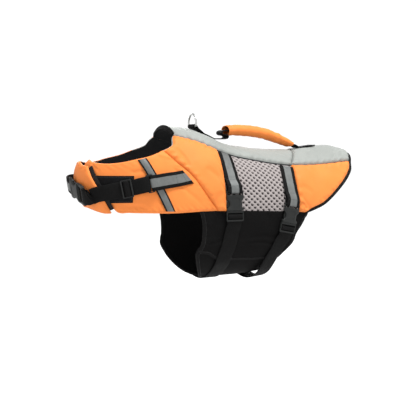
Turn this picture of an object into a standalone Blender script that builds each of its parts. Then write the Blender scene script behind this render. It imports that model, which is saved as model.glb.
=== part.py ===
"""Dog life jacket, worn and closed, as solids in metres.

The wearer's head is toward -X, the tail toward +X, the wearer's left side toward -Y, and up is +Z.
The origin is on the inner face of the back panel at mid-back, where the wearer carries it.
Panels are walls laid on one smooth trunk, called the skin here: a seam is a line on the skin,
a panel is a grid of skin points between four seams, and its thickness goes outward.
"""

import math
from collections import namedtuple

import bmesh
import bpy
import numpy as np
from mathutils import Matrix, Vector, geometry

MM = 0.001

# Cloth and foam, in millimetres
SEAM = 0.4            # gap between two panels at a seam
LIE = 0.35            # gap between a piece and the panel that it lies on
RIM = 8.0             # how far from a seam the foam reaches its full height
PINCH = 3.0           # a foam panel where it is sewn down
NEAR_SEAM = 0.82      # share of its full height that the foam has at the rim
BACK_FOAM = 9.0       # grey back panel
SIDE_FOAM = 8.5       # orange shoulder and rear panels
CHEST_FOAM = 5.0      # orange chest band
MESH = 3.0            # spacer mesh on the flank
NEOPRENE = 3.0        # belly flaps
BINDING = 6.0         # width of the black binding at the tail
BINDING_THICK = 5.2
BINDING_UNDER = 0.8   # how far it reaches in past the panels' inner faces
NECK_LIP = 3.2        # width of the binding at the front of the back panel
NECK_UNDER = 0.4
TAPE = 16.0           # width of the reflective tape on the chest
TAPE_THICK = 1.0
WEB = 30.0            # girth webbing
CHEST_WEB = 28.0      # chest webbing
WEB_THICK = 2.0
PATCH_THICK = 1.2     # loop patch
HOOK_THICK = 1.5      # hook strip under the right chest panel

Section = namedtuple("Section", "x top bottom half widest")
SECTIONS = (
    # place along the back, height of the back, of the belly, half width, height of the widest place
    Section(-400, 0, -100, 94, -43),
    Section(-340, 25, -130, 95, -45),
    Section(-280, 70, -180, 96, -60),
    Section(-230, 62, -230, 98, -90),
    Section(-190, 42, -245, 100, -102),
    Section(-150, 38, -244, 102, -106),
    Section(-113, 26, -243, 104, -108),
    Section(-80, 12, -243, 105, -110),
    Section(-24, 2, -242, 105, -114),
    Section(47, -3, -232, 103, -114),
    Section(96, -3, -218, 100, -110),
    Section(134, 1, -206, 96, -105),
    Section(172, 5, -195, 90, -98),
    Section(211, 1, -185, 83, -92),
    Section(260, -16, -178, 74, -90),
)
CHEST_STARTS = -215   # ahead of this place the trunk closes into the chest
CHEST_DEPTH = 136
SIDE_POWER = 2.15     # how square the sections are: 2 is an ellipse
TOP_POWER = 2.0
LOW_POWER = 2.2
CHEST_POWER = 2.3

Colour = namedtuple("Colour", "name rgb rough metal")
ORANGE = Colour("orange_ripstop", (0.93, 0.27, 0.05), 0.75, 0.0)
GREY = Colour("grey_oxford", (0.55, 0.57, 0.56), 0.7, 0.0)
NETTING = Colour("grey_mesh", (0.60, 0.54, 0.54), 0.8, 0.0)
BLACK = Colour("black_neoprene", (0.018, 0.017, 0.017), 0.85, 0.0)
WEBBING = Colour("black_webbing", (0.02, 0.02, 0.02), 0.8, 0.0)
SILVER = Colour("reflective_tape", (0.25, 0.27, 0.27), 0.35, 0.0)
PLASTIC = Colour("black_plastic", (0.05, 0.055, 0.055), 0.45, 0.0)
STEEL = Colour("bright_steel", (0.7, 0.7, 0.7), 0.2, 1.0)


# ---------------------------------------------------------------- the skin

TABLE = np.array(SECTIONS, float)


def smooth_table(keys, values, at):
    """Values between the rows of a table, on a smooth curve through them."""
    at = np.clip(at, keys[0], keys[-1])
    row = np.clip(np.searchsorted(keys, at) - 1, 0, len(keys) - 2)
    slope = np.gradient(values, keys)
    step = keys[row + 1] - keys[row]
    t = (at - keys[row]) / step
    return (
        (2 * t**3 - 3 * t**2 + 1) * values[row]
        + (t**3 - 2 * t**2 + t) * step * slope[row]
        + (3 * t**2 - 2 * t**3) * values[row + 1]
        + (t**3 - t**2) * step * slope[row + 1]
    )


def section(x):
    return [smooth_table(TABLE[:, 0], TABLE[:, column], x) for column in (1, 2, 3, 4)]


def level(points):
    """Below 0 inside the trunk, 0 on the skin. Points are rows of x, y, z in millimetres."""
    x, y, z = points[:, 0], points[:, 1], points[:, 2]
    top, bottom, half, widest = section(x)
    rise = z - widest
    upper = np.abs(rise / (top - widest)) ** TOP_POWER
    lower = np.abs(rise / (widest - bottom)) ** LOW_POWER
    chest = np.clip((CHEST_STARTS - x) / CHEST_DEPTH, 0, None) ** CHEST_POWER
    return np.abs(y / half) ** SIDE_POWER + np.where(rise > 0, upper, lower) + chest - 1


def steepest(points, step=0.01):
    slope = np.zeros_like(points)
    for axis in range(3):
        move = np.zeros(3)
        move[axis] = step
        slope[:, axis] = (level(points + move) - level(points - move)) / (2 * step)
    return slope


def flat(points):
    return np.asarray(points, float).reshape(-1, 3)


def outward(points):
    slope = steepest(flat(points))
    slope /= np.linalg.norm(slope, axis=1, keepdims=True)
    return slope.reshape(np.shape(points))


def to_skin(points):
    """Points moved onto the skin along its steepest slope."""
    moved = flat(points).copy()
    for _ in range(25):
        slope = steepest(moved)
        step = slope * (level(moved) / ((slope**2).sum(axis=1) + 1e-12))[:, None]
        size = np.linalg.norm(step, axis=1, keepdims=True)
        moved -= step * np.minimum(1, 10 / np.maximum(size, 1e-9))
    return moved.reshape(np.shape(points))


def flank(x, z, side=-1):
    """The skin point at x and z, on the left side (-1) or the right (1)."""
    top, bottom, half, widest = [float(v[0]) for v in section(np.array([float(x)]))]
    share = ((z - widest) / (top - widest)) ** TOP_POWER if z > widest else (
        (widest - z) / (widest - bottom)) ** LOW_POWER
    chest = max((CHEST_STARTS - x) / CHEST_DEPTH, 0) ** CHEST_POWER
    left = max(1 - share - chest, 0.02)
    return to_skin([x, side * half * left ** (1 / SIDE_POWER), z])


def crest(x, y):
    top, _, half, widest = [float(v[0]) for v in section(np.array([float(x)]))]
    left = max(1 - abs(y / half) ** SIDE_POWER, 0.02)
    return to_skin([x, y, widest + (top - widest) * left ** (1 / TOP_POWER)])


def breast(y, z):
    """The skin point on the front of the chest at y and z."""
    near, far = CHEST_STARTS, CHEST_STARTS - CHEST_DEPTH - 5.0
    for _ in range(40):
        middle = (near + far) / 2
        if level(np.array([[middle, y, z]]))[0] < 0:
            near = middle
        else:
            far = middle
    return np.array([near, y, z])


def girth(x, angle):
    """The skin point at x and an angle round the trunk: 0 at the keel, 90 left, -90 right."""
    widest = section(np.array([float(x)]))[3][0]
    way = np.array([0, -math.sin(math.radians(angle)), -math.cos(math.radians(angle))])
    near, far = 0.0, 400.0
    for _ in range(40):
        middle = (near + far) / 2
        if level(np.array([[x, 0, widest]]) + way * middle)[0] < 0:
            near = middle
        else:
            far = middle
    return np.array([x, 0, widest]) + way * near


def mirrored(points):
    return np.asarray(points) * np.array([1, -1, 1])


def unit(vector):
    vector = np.asarray(vector, float)
    return vector / np.linalg.norm(vector)


def ease(t):
    t = np.clip(t, 0, 1)
    return t * t * (3 - 2 * t)


# ---------------------------------------------------------------- seams

FINE = 24  # points worked out between two rows of a seam


class Seam:
    """A smooth line through skin points, measured along its length."""

    def __init__(self, rows):
        rows = np.array([np.asarray(row, float) for row in rows])
        gaps = np.linalg.norm(np.diff(rows, axis=0), axis=1)
        knots = np.concatenate([[0], np.cumsum(gaps)])
        at = np.concatenate([
            np.linspace(knots[i], knots[i + 1], FINE, endpoint=False) for i in range(len(rows) - 1)
        ] + [[knots[-1]]])
        line = np.stack([smooth_table(knots, rows[:, axis], at) for axis in range(3)], axis=1)
        self.line = to_skin(line)
        steps = np.linalg.norm(np.diff(self.line, axis=0), axis=1)
        self.run = np.concatenate([[0], np.cumsum(steps)])

    def at(self, distance):
        return to_skin(np.stack(
            [np.interp(distance, self.run, self.line[:, axis]) for axis in range(3)], axis=-1))

    def row(self, number):
        """How far along row `number` lies."""
        return self.run[number * FINE]

    def points(self, pieces, first=0, last=None, rims=(True, True)):
        """Points from row `first` to row `last`: `pieces` even steps between two narrow rims."""
        last = (len(self.line) - 1) // FINE if last is None else last
        start, end = self.row(first), self.row(last)
        low = start + RIM if rims[0] else start
        high = end - RIM if rims[1] else end
        stops = list(np.linspace(low, high, pieces + 1))
        if rims[0]:
            stops.insert(0, start)
        if rims[1]:
            stops.append(end)
        return self.at(np.array(stops))


def offset_line(points, distance):
    """A line on the skin, moved sideways over it by `distance`, to the left of its run."""
    tangent = np.gradient(points, axis=0)
    tangent /= np.linalg.norm(tangent, axis=1, keepdims=True)
    return to_skin(points + np.cross(outward(points), tangent) * distance)


def shares(low, high):
    """The mean share of the way along two lines, for each of their points."""
    found = []
    for line in (low, high):
        run = np.concatenate([[0], np.cumsum(np.linalg.norm(np.diff(line, axis=0), axis=1))])
        found.append(run / run[-1])
    return (found[0] + found[1]) / 2


def patch(low, high, start, end):
    """A grid of skin points between four lines. low and high run from start to end."""
    u = shares(low, high)[:, None, None]
    v = shares(start, end)[None, :, None]
    grid = (
        (1 - v) * low[:, None] + v * high[:, None]
        + (1 - u) * start[None] + u * end[None]
        - (1 - u) * (1 - v) * low[0] - u * (1 - v) * low[-1]
        - (1 - u) * v * high[0] - u * v * high[-1]
    )
    inner = to_skin(grid[1:-1, 1:-1])
    grid[1:-1, 1:-1] = inner
    return grid


def pull_in(grid, gap=SEAM / 2):
    """The grid with its four edges moved in by half a seam's gap."""
    moved = grid.copy()
    for edge, inside in ((0, 1), (-1, -2)):
        way = grid[inside] - grid[edge]
        moved[edge] += way / np.linalg.norm(way, axis=1, keepdims=True) * gap
        way = grid[:, inside] - grid[:, edge]
        moved[:, edge] += way / np.linalg.norm(way, axis=1, keepdims=True) * gap
    return moved


# ---------------------------------------------------------------- making objects

def clear_scene():
    for thing in list(bpy.data.objects):
        bpy.data.objects.remove(thing, do_unlink=True)


def material(colour):
    found = bpy.data.materials.get(colour.name)
    if found:
        return found
    made = bpy.data.materials.new(colour.name)
    made.use_nodes = True
    shader = made.node_tree.nodes["Principled BSDF"]
    shader.inputs["Base Color"].default_value = (*colour.rgb, 1)
    shader.inputs["Roughness"].default_value = colour.rough
    shader.inputs["Metallic"].default_value = colour.metal
    return made


def add_object(name, data, colour):
    data.materials.append(material(colour))
    made = bpy.data.objects.new(name, data)
    bpy.context.scene.collection.objects.link(made)
    return made


def closed_mesh(name, points, faces, colour):
    """A mesh object from points in millimetres. Its faces are turned to face out."""
    mesh = bpy.data.meshes.new(name)
    mesh.from_pydata([tuple(point) for point in flat(points) * MM], [], faces)
    work = bmesh.new()
    work.from_mesh(mesh)
    bmesh.ops.recalc_face_normals(work, faces=work.faces)
    work.to_mesh(mesh)
    work.free()
    mesh.shade_smooth()
    mesh.set_sharp_from_angle(angle=math.radians(35))
    return add_object(name, mesh, colour)


def sheet_faces(rows, columns):
    """Faces of a closed wall whose inner points come first, row by row, and then its outer ones."""
    layer = rows * columns
    faces = []
    for i in range(rows - 1):
        for j in range(columns - 1):
            a, b = i * columns + j, (i + 1) * columns + j
            faces.append((a, a + 1, b + 1, b))
            faces.append((layer + a, layer + b, layer + b + 1, layer + a + 1))
    around = (
        [j for j in range(columns)]
        + [i * columns + columns - 1 for i in range(1, rows)]
        + [(rows - 1) * columns + j for j in range(columns - 2, -1, -1)]
        + [i * columns for i in range(rows - 2, 0, -1)]
    )
    for k, a in enumerate(around):
        b = around[(k + 1) % len(around)]
        faces.append((a, layer + a, layer + b, b))
    return faces


def wall(name, grid, thickness, colour, base=0.0):
    """A wall on a grid of skin points: it starts `base` above the skin and is `thickness` thick."""
    grid = np.asarray(grid)
    normals = outward(grid)
    base = np.broadcast_to(base, grid.shape[:2])[..., None]
    thickness = np.broadcast_to(thickness, grid.shape[:2])[..., None]
    inner = grid + normals * base
    outer = inner + normals * thickness
    points = np.concatenate([flat(inner), flat(outer)])
    return closed_mesh(name, points, sheet_faces(*grid.shape[:2]), colour)


def foam(shape, full, start_sewn=True):
    """Thickness of a foam panel over a grid whose edges are sewn down, the start row only if it is."""
    share = np.ones(shape)
    rows = [(0, 1), (-1, -2)] if start_sewn else [(-1, -2)]
    for _, inside in rows:
        share[inside] *= NEAR_SEAM
    for inside in (1, -2):
        share[:, inside] *= NEAR_SEAM
    for edge, _ in rows:
        share[edge] = 0
    share[:, [0, -1]] = 0
    return PINCH + (full - PINCH) * share


def ribbon(name, centres, across, width, thickness, colour, slant=0.0):
    """Webbing: a flat band of even thickness whose middle runs through `centres`. Its start is cut
    on a slant: one side starts `slant` further along than the middle."""
    centres = flat(centres)
    across = np.broadcast_to(np.asarray(across, float), centres.shape)
    tangent = np.gradient(centres, axis=0)
    tangent /= np.linalg.norm(tangent, axis=1, keepdims=True)
    across = across - tangent * (across * tangent).sum(axis=1, keepdims=True)
    across /= np.linalg.norm(across, axis=1, keepdims=True)
    up = np.cross(tangent, across)
    steps = np.diff(centres, axis=0)
    steps /= np.linalg.norm(steps, axis=1, keepdims=True)
    stretch = np.ones(len(centres))
    turn = np.clip((steps[1:] * steps[:-1]).sum(axis=1), -0.5, 1)
    stretch[1:-1] = 1 / np.sqrt((1 + turn) / 2)
    half = thickness / 2 * stretch[:, None]
    side = across * np.reshape(np.broadcast_to(width, len(centres)), (-1, 1)) / 2
    side[0] += tangent[0] * slant
    low = np.stack([centres - side - up * half, centres + side - up * half], axis=1)
    high = np.stack([centres - side + up * half, centres + side + up * half], axis=1)
    points = np.concatenate([flat(low), flat(high)])
    return closed_mesh(name, points, sheet_faces(len(centres), 2), colour)


def across_skin(points):
    """Across a band that runs over the skin through `points`."""
    return np.cross(np.gradient(points, axis=0), outward(points))


def above_skin(points, heights):
    points = np.asarray(points, float)
    return points + outward(points) * np.reshape(heights, (-1, 1))


# ---------------------------------------------------------------- lines of the cut, in millimetres

Side = namedtuple("Side", "x z")        # a point on the left flank
Top = namedtuple("Top", "x y")          # a point on the back
Breast = namedtuple("Breast", "y z")    # a point on the front of the chest

STRAP_X = -111.7                        # the shoulder panel ends at the front girth strap
BACK_EDGE = (                           # lower edge of the grey back panel, left
    Top(-192, -45), Top(-170, -50), Top(-145, -56), Top(STRAP_X, -60.5), Top(-79, -59),
    Top(-27, -61.5), Top(20, -65.5), Top(54, -67), Top(100, -67), Top(147, -66),
)
BACK_AT_STRAP, BACK_AT_CHEVRON = 3, 7   # rows where the shoulder and the mesh end
BACK_FRONT = (Top(-192, -45), Top(-193, -22), Top(-193.5, 0), Top(-193, 22), Top(-192, 45))
CHEVRON = (Top(54, -67), Top(72, -45), Top(87, -22), Top(93, 0), Top(87, 22), Top(72, 45), Top(54, 67))
TAIL_SIDE = (                           # the tail edge, from the waist up the left flank
    Side(72, -118), Side(90, -112.6), Side(111.5, -105), Side(133, -92), Side(153, -77.6),
    Side(172.5, -62.7), Side(187.5, -49.6), Side(198, -39),
)
TAIL_FOOT = Side(64.5, -117.2)          # the binding's inner end, on the waist
TAIL_TOP = (Top(206, -60), Top(213, -51), Top(222, -35), Top(229, -18))
TAIL_MIDDLE = Top(231.5, 0)
NECK_SIDE = (Side(-226, 3), Side(-210, 9), Side(-203, 13))
NECK_TOP = (Top(-199, -57), Top(-195.5, -50), Top(-192, -45))
SHOULDER_SEAM = (Side(-226, 3), Side(-201, -19), Side(-176, -40), Side(-152, -72), Side(-127.7, -106.3))
STRAP_EDGE = (Side(STRAP_X, -107), Side(STRAP_X, -70), Side(STRAP_X, -36), Side(STRAP_X, -18))
REAR_STRAP_EDGE = (Side(47.5, -115.3), Side(47.6, -99), Side(48.6, -75), Side(51.3, -49))
WAIST = (
    Side(-162.6, -106.5), Side(-127.7, -106.3), Side(STRAP_X, -107), Side(-40, -110.3),
    Side(17, -113.4), Side(47.5, -115.3), Side(72, -118),
)
WAIST_AT_STRAP, WAIST_AT_REAR_STRAP = 2, 5
CHEST_LOW_SIDE = (
    Side(-127.7, -106.3), Side(-165, -106.5), Side(-215, -107.4), Side(-259, -106),
    Side(-289, -105), Side(-307, -103),
)
CHEST_LOW_LEFT = (Breast(-60, -99), Breast(-45, -94), Breast(-25, -90), Breast(8, -86))
CHEST_LOW_RIGHT = (
    Breast(60, -103), Breast(40, -99), Breast(15, -95), Breast(-10, -95), Breast(-30, -99),
    Breast(-44, -102), Breast(-56, -102),
)
NECKLINE_SIDE = (
    Side(-226, 3), Side(-244, -4), Side(-262, -9), Side(-277, -12), Side(-298, -17), Side(-314, -19.5),
)
NECKLINE_LEFT = (Breast(-38, -19.5), Breast(-20, -17), Breast(-6, -14))
NECKLINE_RIGHT = (Breast(38, -20), Breast(20, -21), Breast(0, -24), Breast(-15, -27), Breast(-29, -28))
LEFT_END = (Breast(8, -86), Breast(5, -48), Breast(-6, -14))
RIGHT_END = (Breast(-56, -102), Breast(-55, -86), Breast(-50, -60), Breast(-41, -43), Breast(-29, -28))
RIGHT_LIFTS = (45.0, 12.0)              # the right chest panel climbs onto the left one between these y

BellyEdge = namedtuple("BellyEdge", "angle front rear")
BELLY = (                               # fore and aft edges of the belly, round the trunk
    BellyEdge(0, -118, 22), BellyEdge(20, -140, 15), BellyEdge(38, -158, 12), BellyEdge(46, -163, 23),
    BellyEdge(57, -157, 40), BellyEdge(68, -155, 50), BellyEdge(77, -156.7, 61), BellyEdge(92, -162.6, 72),
)
LEFT_FLAP_END = (48.0, 42.0, -122.0)    # its angle ahead of and behind a step, and where the step is
STEP_LONG = 40.0                        # length of that step
RIGHT_FLAP_END = 52.0                   # the right flap ends under the left one at this angle
FLAP_LIFTS = (66.0, 56.5)               # the left flap climbs onto the right one between these angles
BELLY_COLUMNS, LEFT_ROWS, RIGHT_ROWS = 9, 8, 20

RIGHT_BASE = CHEST_FOAM + PATCH_THICK + HOOK_THICK + 4.5 * LIE


def points_of(rows, side=-1):
    """Skin points of rows of Side, Top and Breast. They are written for the left side."""
    found = []
    for row in rows:
        if isinstance(row, Side):
            found.append(flank(row.x, row.z, side))
        elif isinstance(row, Top):
            found.append(crest(row.x, row.y if side < 0 else -row.y))
        else:
            found.append(breast(row.y, row.z))
    return found


# ---------------------------------------------------------------- panels

def tail_lines():
    """The outer and inner lines of the black binding, from waist to waist over the back."""
    left = points_of(TAIL_SIDE + TAIL_TOP)
    rows = left + points_of((TAIL_MIDDLE,)) + [mirrored(point) for point in reversed(left)]
    seam = Seam(rows)
    corner = len(TAIL_SIDE)
    side = seam.points(6, 0, corner, rims=(False, True))
    top = seam.points(6, corner, len(rows) - 1 - corner)
    outer = np.concatenate([side, top[1:], mirrored(side[::-1])[1:]])
    inner = offset_line(outer, BINDING)
    inner[0] = flank(*TAIL_FOOT)
    inner[-1] = mirrored(inner[0])
    return outer, inner, len(side), len(top)


def make_panels():
    outer, inner, side_count, top_count = tail_lines()
    tail_side = inner[:side_count]
    tail_top = inner[side_count - 1:side_count + top_count - 1]

    edge = Seam(points_of(BACK_EDGE) + [tail_side[-1]])
    last = len(BACK_EDGE)
    shoulder_top = edge.points(5, 0, BACK_AT_STRAP)
    mesh_top = edge.points(9, BACK_AT_STRAP, BACK_AT_CHEVRON, rims=(False, True))
    rear_top = edge.points(5, BACK_AT_CHEVRON, last)

    front = Seam(points_of(BACK_FRONT)).points(6)
    chevron = Seam(points_of(CHEVRON)).points(6)
    edge_front = np.concatenate([shoulder_top, mesh_top[1:]])
    grid = patch(edge_front, mirrored(edge_front), front, chevron)
    wall("back_panel_front", pull_in(grid), foam(grid.shape[:2], BACK_FOAM, start_sewn=False), GREY)
    grid = patch(rear_top, mirrored(rear_top), chevron, tail_top)
    wall("back_panel_rear", pull_in(grid), foam(grid.shape[:2], BACK_FOAM), GREY)

    neck = Seam(points_of(NECK_SIDE + NECK_TOP)).points(6)
    diagonal = Seam(points_of(SHOULDER_SEAM)).points(5)
    strap_edge = Seam(points_of(STRAP_EDGE) + [shoulder_top[-1]]).points(5)
    right = np.concatenate([diagonal[-1:], strap_edge])
    shoulder = pull_in(patch(diagonal, shoulder_top, neck, right))

    waist = Seam(points_of(WAIST))
    rear_edge_seam = Seam(points_of(REAR_STRAP_EDGE) + [mesh_top[-1]])
    rear_edge = rear_edge_seam.points(side_count - 2, rims=(False, True))
    mesh_low = waist.points(len(mesh_top) - 1, WAIST_AT_STRAP, WAIST_AT_REAR_STRAP, rims=(False, False))
    mesh_front = Seam([strap_edge[0], *points_of(STRAP_EDGE[1:]), strap_edge[-1]])
    mesh_front = mesh_front.points(side_count - 2, rims=(False, True))
    mesh = pull_in(patch(mesh_low, mesh_top, mesh_front, rear_edge))

    low = Seam([rear_edge[0], (rear_edge[0] + tail_side[0]) / 2, tail_side[0]])
    low = low.at(np.interp(shares(rear_top, rear_top), [0, 1], [0, low.run[-1]]))
    rear = pull_in(patch(low, rear_top, rear_edge, tail_side))

    for mark, flip in (("L", np.array), ("R", mirrored)):
        wall(f"shoulder_panel_{mark}", flip(shoulder), foam(shoulder.shape[:2], SIDE_FOAM), ORANGE)
        wall(f"mesh_panel_{mark}", flip(mesh), MESH, NETTING)
        wall(f"rear_panel_{mark}", flip(rear), foam(rear.shape[:2], SIDE_FOAM), ORANGE)

    binding = pull_in(np.stack([inner, outer], axis=1))
    wall("tail_binding", binding, BINDING_THICK, BLACK, base=-BINDING_UNDER)
    lip = pull_in(np.stack([front, offset_line(front, NECK_LIP)], axis=1))
    wall("neck_binding", lip, BACK_FOAM + NECK_UNDER, BLACK, base=-NECK_UNDER)
    make_chest(diagonal)
    make_belly(waist)


def lift_on_left(points):
    """How far the right chest panel stands off the skin where it lies on the left one."""
    start, end = RIGHT_LIFTS
    share = 1 - ease((points[..., 1] - end) / (start - end))
    return RIGHT_BASE * np.where(points[..., 0] < -200, share, 0)


def make_chest(diagonal):
    low = Seam(points_of(CHEST_LOW_SIDE + CHEST_LOW_LEFT)).points(12)
    high = Seam(points_of(NECKLINE_SIDE + NECKLINE_LEFT)).points(12)
    end = Seam(points_of(LEFT_END)).points(len(diagonal) - 3)
    grid = pull_in(patch(low, high, diagonal[::-1], end))
    wall("chest_panel_L", grid, foam(grid.shape[:2], CHEST_FOAM), ORANGE)

    low = Seam(points_of(CHEST_LOW_SIDE, 1) + points_of(CHEST_LOW_RIGHT)).points(18)
    high = Seam(points_of(NECKLINE_SIDE, 1) + points_of(NECKLINE_RIGHT)).points(18)
    end = Seam(points_of(RIGHT_END)).points(len(diagonal) - 3)
    grid = pull_in(patch(low, high, mirrored(diagonal[::-1]), end))
    wall("chest_panel_R", grid, foam(grid.shape[:2], CHEST_FOAM), ORANGE, base=lift_on_left(grid))


def belly_point(x_share, angle, side):
    table = np.array(BELLY, float)
    front = smooth_table(table[:, 0], table[:, 1], abs(angle))
    rear = smooth_table(table[:, 0], table[:, 2], abs(angle))
    return girth(float(front + (rear - front) * x_share), angle * side)


def waist_angle(point):
    widest = section(np.array([point[0]]))[3][0]
    return math.degrees(math.atan2(abs(point[1]), widest - point[2]))


def make_belly(waist):
    top = waist.points(BELLY_COLUMNS - 1, rims=(False, False))
    top = offset_line(top, -SEAM)
    angles = [waist_angle(point) for point in top]

    step_up, step_down, step_x = LEFT_FLAP_END
    grid = []
    for row in range(LEFT_ROWS):
        line = []
        for column in range(BELLY_COLUMNS):
            share = column / (BELLY_COLUMNS - 1)
            past = top[column][0] - step_x + STEP_LONG / 2
            ends = step_up + (step_down - step_up) * ease(past / STEP_LONG)
            angle = angles[column] + (ends - angles[column]) * row / (LEFT_ROWS - 1)
            line.append(top[column] if row == 0 else belly_point(share, angle, 1))
        grid.append(line)
    grid = np.array(grid)
    around = np.array([[waist_angle(point) for point in line] for line in grid])
    start, end = FLAP_LIFTS
    base = (NEOPRENE + 2 * LIE) * (1 - ease((around - end) / (start - end)))
    wall("belly_panel_L", grid, NEOPRENE, BLACK, base=base)

    grid = []
    for row in range(RIGHT_ROWS):
        line = []
        for column in range(BELLY_COLUMNS):
            share = column / (BELLY_COLUMNS - 1)
            angle = -angles[column] + (RIGHT_FLAP_END + angles[column]) * row / (RIGHT_ROWS - 1)
            line.append(mirrored(top[column]) if row == 0 else belly_point(share, angle, 1))
        grid.append(line)
    wall("belly_panel_R", np.array(grid), NEOPRENE, BLACK)


# ---------------------------------------------------------------- plates, tubes and webbing

class Place:
    """A frame on the jacket: a across, b along and c outward, in millimetres from its origin."""

    def __init__(self, origin, along, out):
        self.origin = np.asarray(origin, float)
        self.c = unit(out)
        self.b = unit(np.asarray(along, float) - self.c * np.dot(along, self.c))
        self.a = np.cross(self.b, self.c)

    def points(self, rows):
        rows = flat(rows)
        return self.origin + rows[:, :1] * self.a + rows[:, 1:2] * self.b + rows[:, 2:] * self.c


def plate(name, place, outline, holes, low, high, colour):
    """A flat plate between two heights: an outline and holes given as (a, b) corners."""
    loops = [list(outline), *[list(hole) for hole in holes]]
    corners = [corner for loop in loops for corner in loop]
    triangles = geometry.tessellate_polygon([[Vector((a, b, 0)) for a, b in loop] for loop in loops])
    count = len(corners)
    faces = [tuple(triangle) for triangle in triangles]
    faces += [tuple(count + corner for corner in reversed(triangle)) for triangle in triangles]
    first = 0
    for loop in loops:
        for k in range(len(loop)):
            here, there = first + k, first + (k + 1) % len(loop)
            faces.append((here, there, count + there, count + here))
        first += len(loop)
    points = [(a, b, low) for a, b in corners] + [(a, b, high) for a, b in corners]
    return closed_mesh(name, place.points(points), faces, colour)


def rectangle(half, low, high):
    return [(-half, low), (half, low), (half, high), (-half, high)]


def rounded(half, low, high, radius, steps=3):
    """A rectangle in a and b with round corners."""
    centres = ((half - radius, low + radius, -90), (half - radius, high - radius, 0),
               (radius - half, high - radius, 90), (radius - half, low + radius, 180))
    found = []
    for a, b, start in centres:
        for k in range(steps + 1):
            turn = math.radians(start + 90 * k / steps)
            found.append((a + radius * math.cos(turn), b + radius * math.sin(turn)))
    return found


def cutter(made):
    made.hide_render = True
    made.display_type = "WIRE"
    return made


def combine(made, other, operation):
    step = made.modifiers.new(operation.lower(), "BOOLEAN")
    step.operation = operation
    step.solver = "EXACT"
    step.object = cutter(other)


def tube(name, centres, radius, colour, sides=8):
    """A closed ring of round wire through `centres`, in millimetres."""
    centres = flat(centres)
    ahead = np.roll(centres, -1, axis=0) - np.roll(centres, 1, axis=0)
    ahead /= np.linalg.norm(ahead, axis=1, keepdims=True)
    normal = unit(np.cross(centres[1] - centres[0], centres[len(centres) // 2] - centres[0]))
    side = np.cross(ahead, normal)
    points = []
    for k in range(sides):
        turn = 2 * math.pi * (k + 0.5) / sides
        points.append(centres + (side * math.cos(turn) + normal * math.sin(turn)) * radius)
    count = len(centres)
    faces = []
    for k in range(sides):
        for i in range(count):
            here, there = k * count + i, k * count + (i + 1) % count
            step = ((k + 1) % sides) * count
            faces.append((here, there, step + (i + 1) % count, step + i))
    return closed_mesh(name, np.concatenate(points), faces, colour)


# ---------------------------------------------------------------- side-release buckles

RAIL = 2.0            # side rail of a buckle's frame
SOCKET = 37.0         # length of a girth buckle's socket
LADDER = 20.0         # length of its plug's ladder
SHELL_HIGH = 9.0      # thickness of the socket
WALL = 2.2            # its walls
PLUG_LOW, PLUG_HIGH = 2.6, 5.2
BAR_LOW, BAR_HIGH = 2.3, 4.8
BAR = 3.0             # bars that the webbing turns round
SLOT = 5.0
TOP_END = -28.5       # where the socket starts, measured along the buckle from its middle
MOUTH = TOP_END + SOCKET
PLAY = 0.4            # room beside webbing in a buckle's or a ring's frame
CORNER = 2.0          # a buckle's corners
TO_SLOTS = 4.5        # from the mouth to the ladder's first slot
LADDER_MIDDLE = 2.5   # the ladder's middle bar
ARM_IN = 3.0          # the prongs, in from the buckle's sides
TIP_CLEAR = 2.5       # free length past the prongs' tips
NOTCH = ((0, -12), (4.5, -9), (5.5, -4), (4.5, 1), (0, 4))  # finger notch: depth and place along
SEWN_HIGH = 6.15      # the middle of the webbing where it passes over the socket's bar
UNDER_HIGH = 0.95     # and where it comes back under it
BUCKLE_RISE = 3.6     # a buckle's under side above the skin, on mesh or neoprene


def buckle(name, place, web, rail=RAIL, colour=PLASTIC):
    """A fastened side-release buckle in two pieces: the socket and the plug inside it."""
    half = web / 2 + rail + PLAY
    inside = web / 2 + PLAY
    body = TOP_END + BAR + SLOT
    notch = [(half - deep, b) for deep, b in NOTCH]
    outline = (
        [(-half + CORNER, MOUTH), (-half, MOUTH - CORNER)]
        + [(-a, b) for a, b in reversed(notch)]
        + [(-half, body), (half, body)] + notch + [(half, MOUTH - CORNER), (half - CORNER, MOUTH)]
    )
    socket = plate(f"{name}_socket", place, outline, [], 0, SHELL_HIGH, colour)
    frame = plate(
        f"{name}_frame", place, rectangle(half, TOP_END, body + 0.5),
        [rectangle(inside, TOP_END + BAR, body)], BAR_LOW, BAR_HIGH, colour)
    combine(socket, frame, "UNION")
    room = plate(
        f"{name}_room", place, rectangle(half - WALL, body + WALL + 0.5, MOUTH + 1), [],
        WALL, PLUG_HIGH + PLAY, colour)
    combine(socket, room, "DIFFERENCE")

    arm = half - ARM_IN
    tip = body + WALL + TIP_CLEAR
    end = MOUTH + LADDER
    shoulder = MOUTH + 0.5
    step = MOUTH + TO_SLOTS
    prong = [(arm - 0.5, shoulder), (arm - 0.5, 2.0), (arm + 0.3, -1.5), (arm, -8), (arm - 3, tip),
             (arm - 6, tip), (arm - 3.5, -4), (arm - 5, shoulder - 2)]
    guide = [(2.5, shoulder - 2), (2.0, tip + 4), (-2.0, tip + 4), (-2.5, shoulder - 2)]
    outline = (
        [(half, shoulder)] + prong + guide + [(-a, b) for a, b in reversed(prong)]
        + [(-half, shoulder), (-half, end - CORNER), (-half + CORNER, end), (half - CORNER, end),
           (half, end - CORNER)]
    )
    slots = [rectangle(inside, step, step + SLOT),
             rectangle(inside, step + SLOT + LADDER_MIDDLE, end - BAR)]
    plate(f"{name}_plug", place, outline, slots, PLUG_LOW, PLUG_HIGH, colour)


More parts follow.
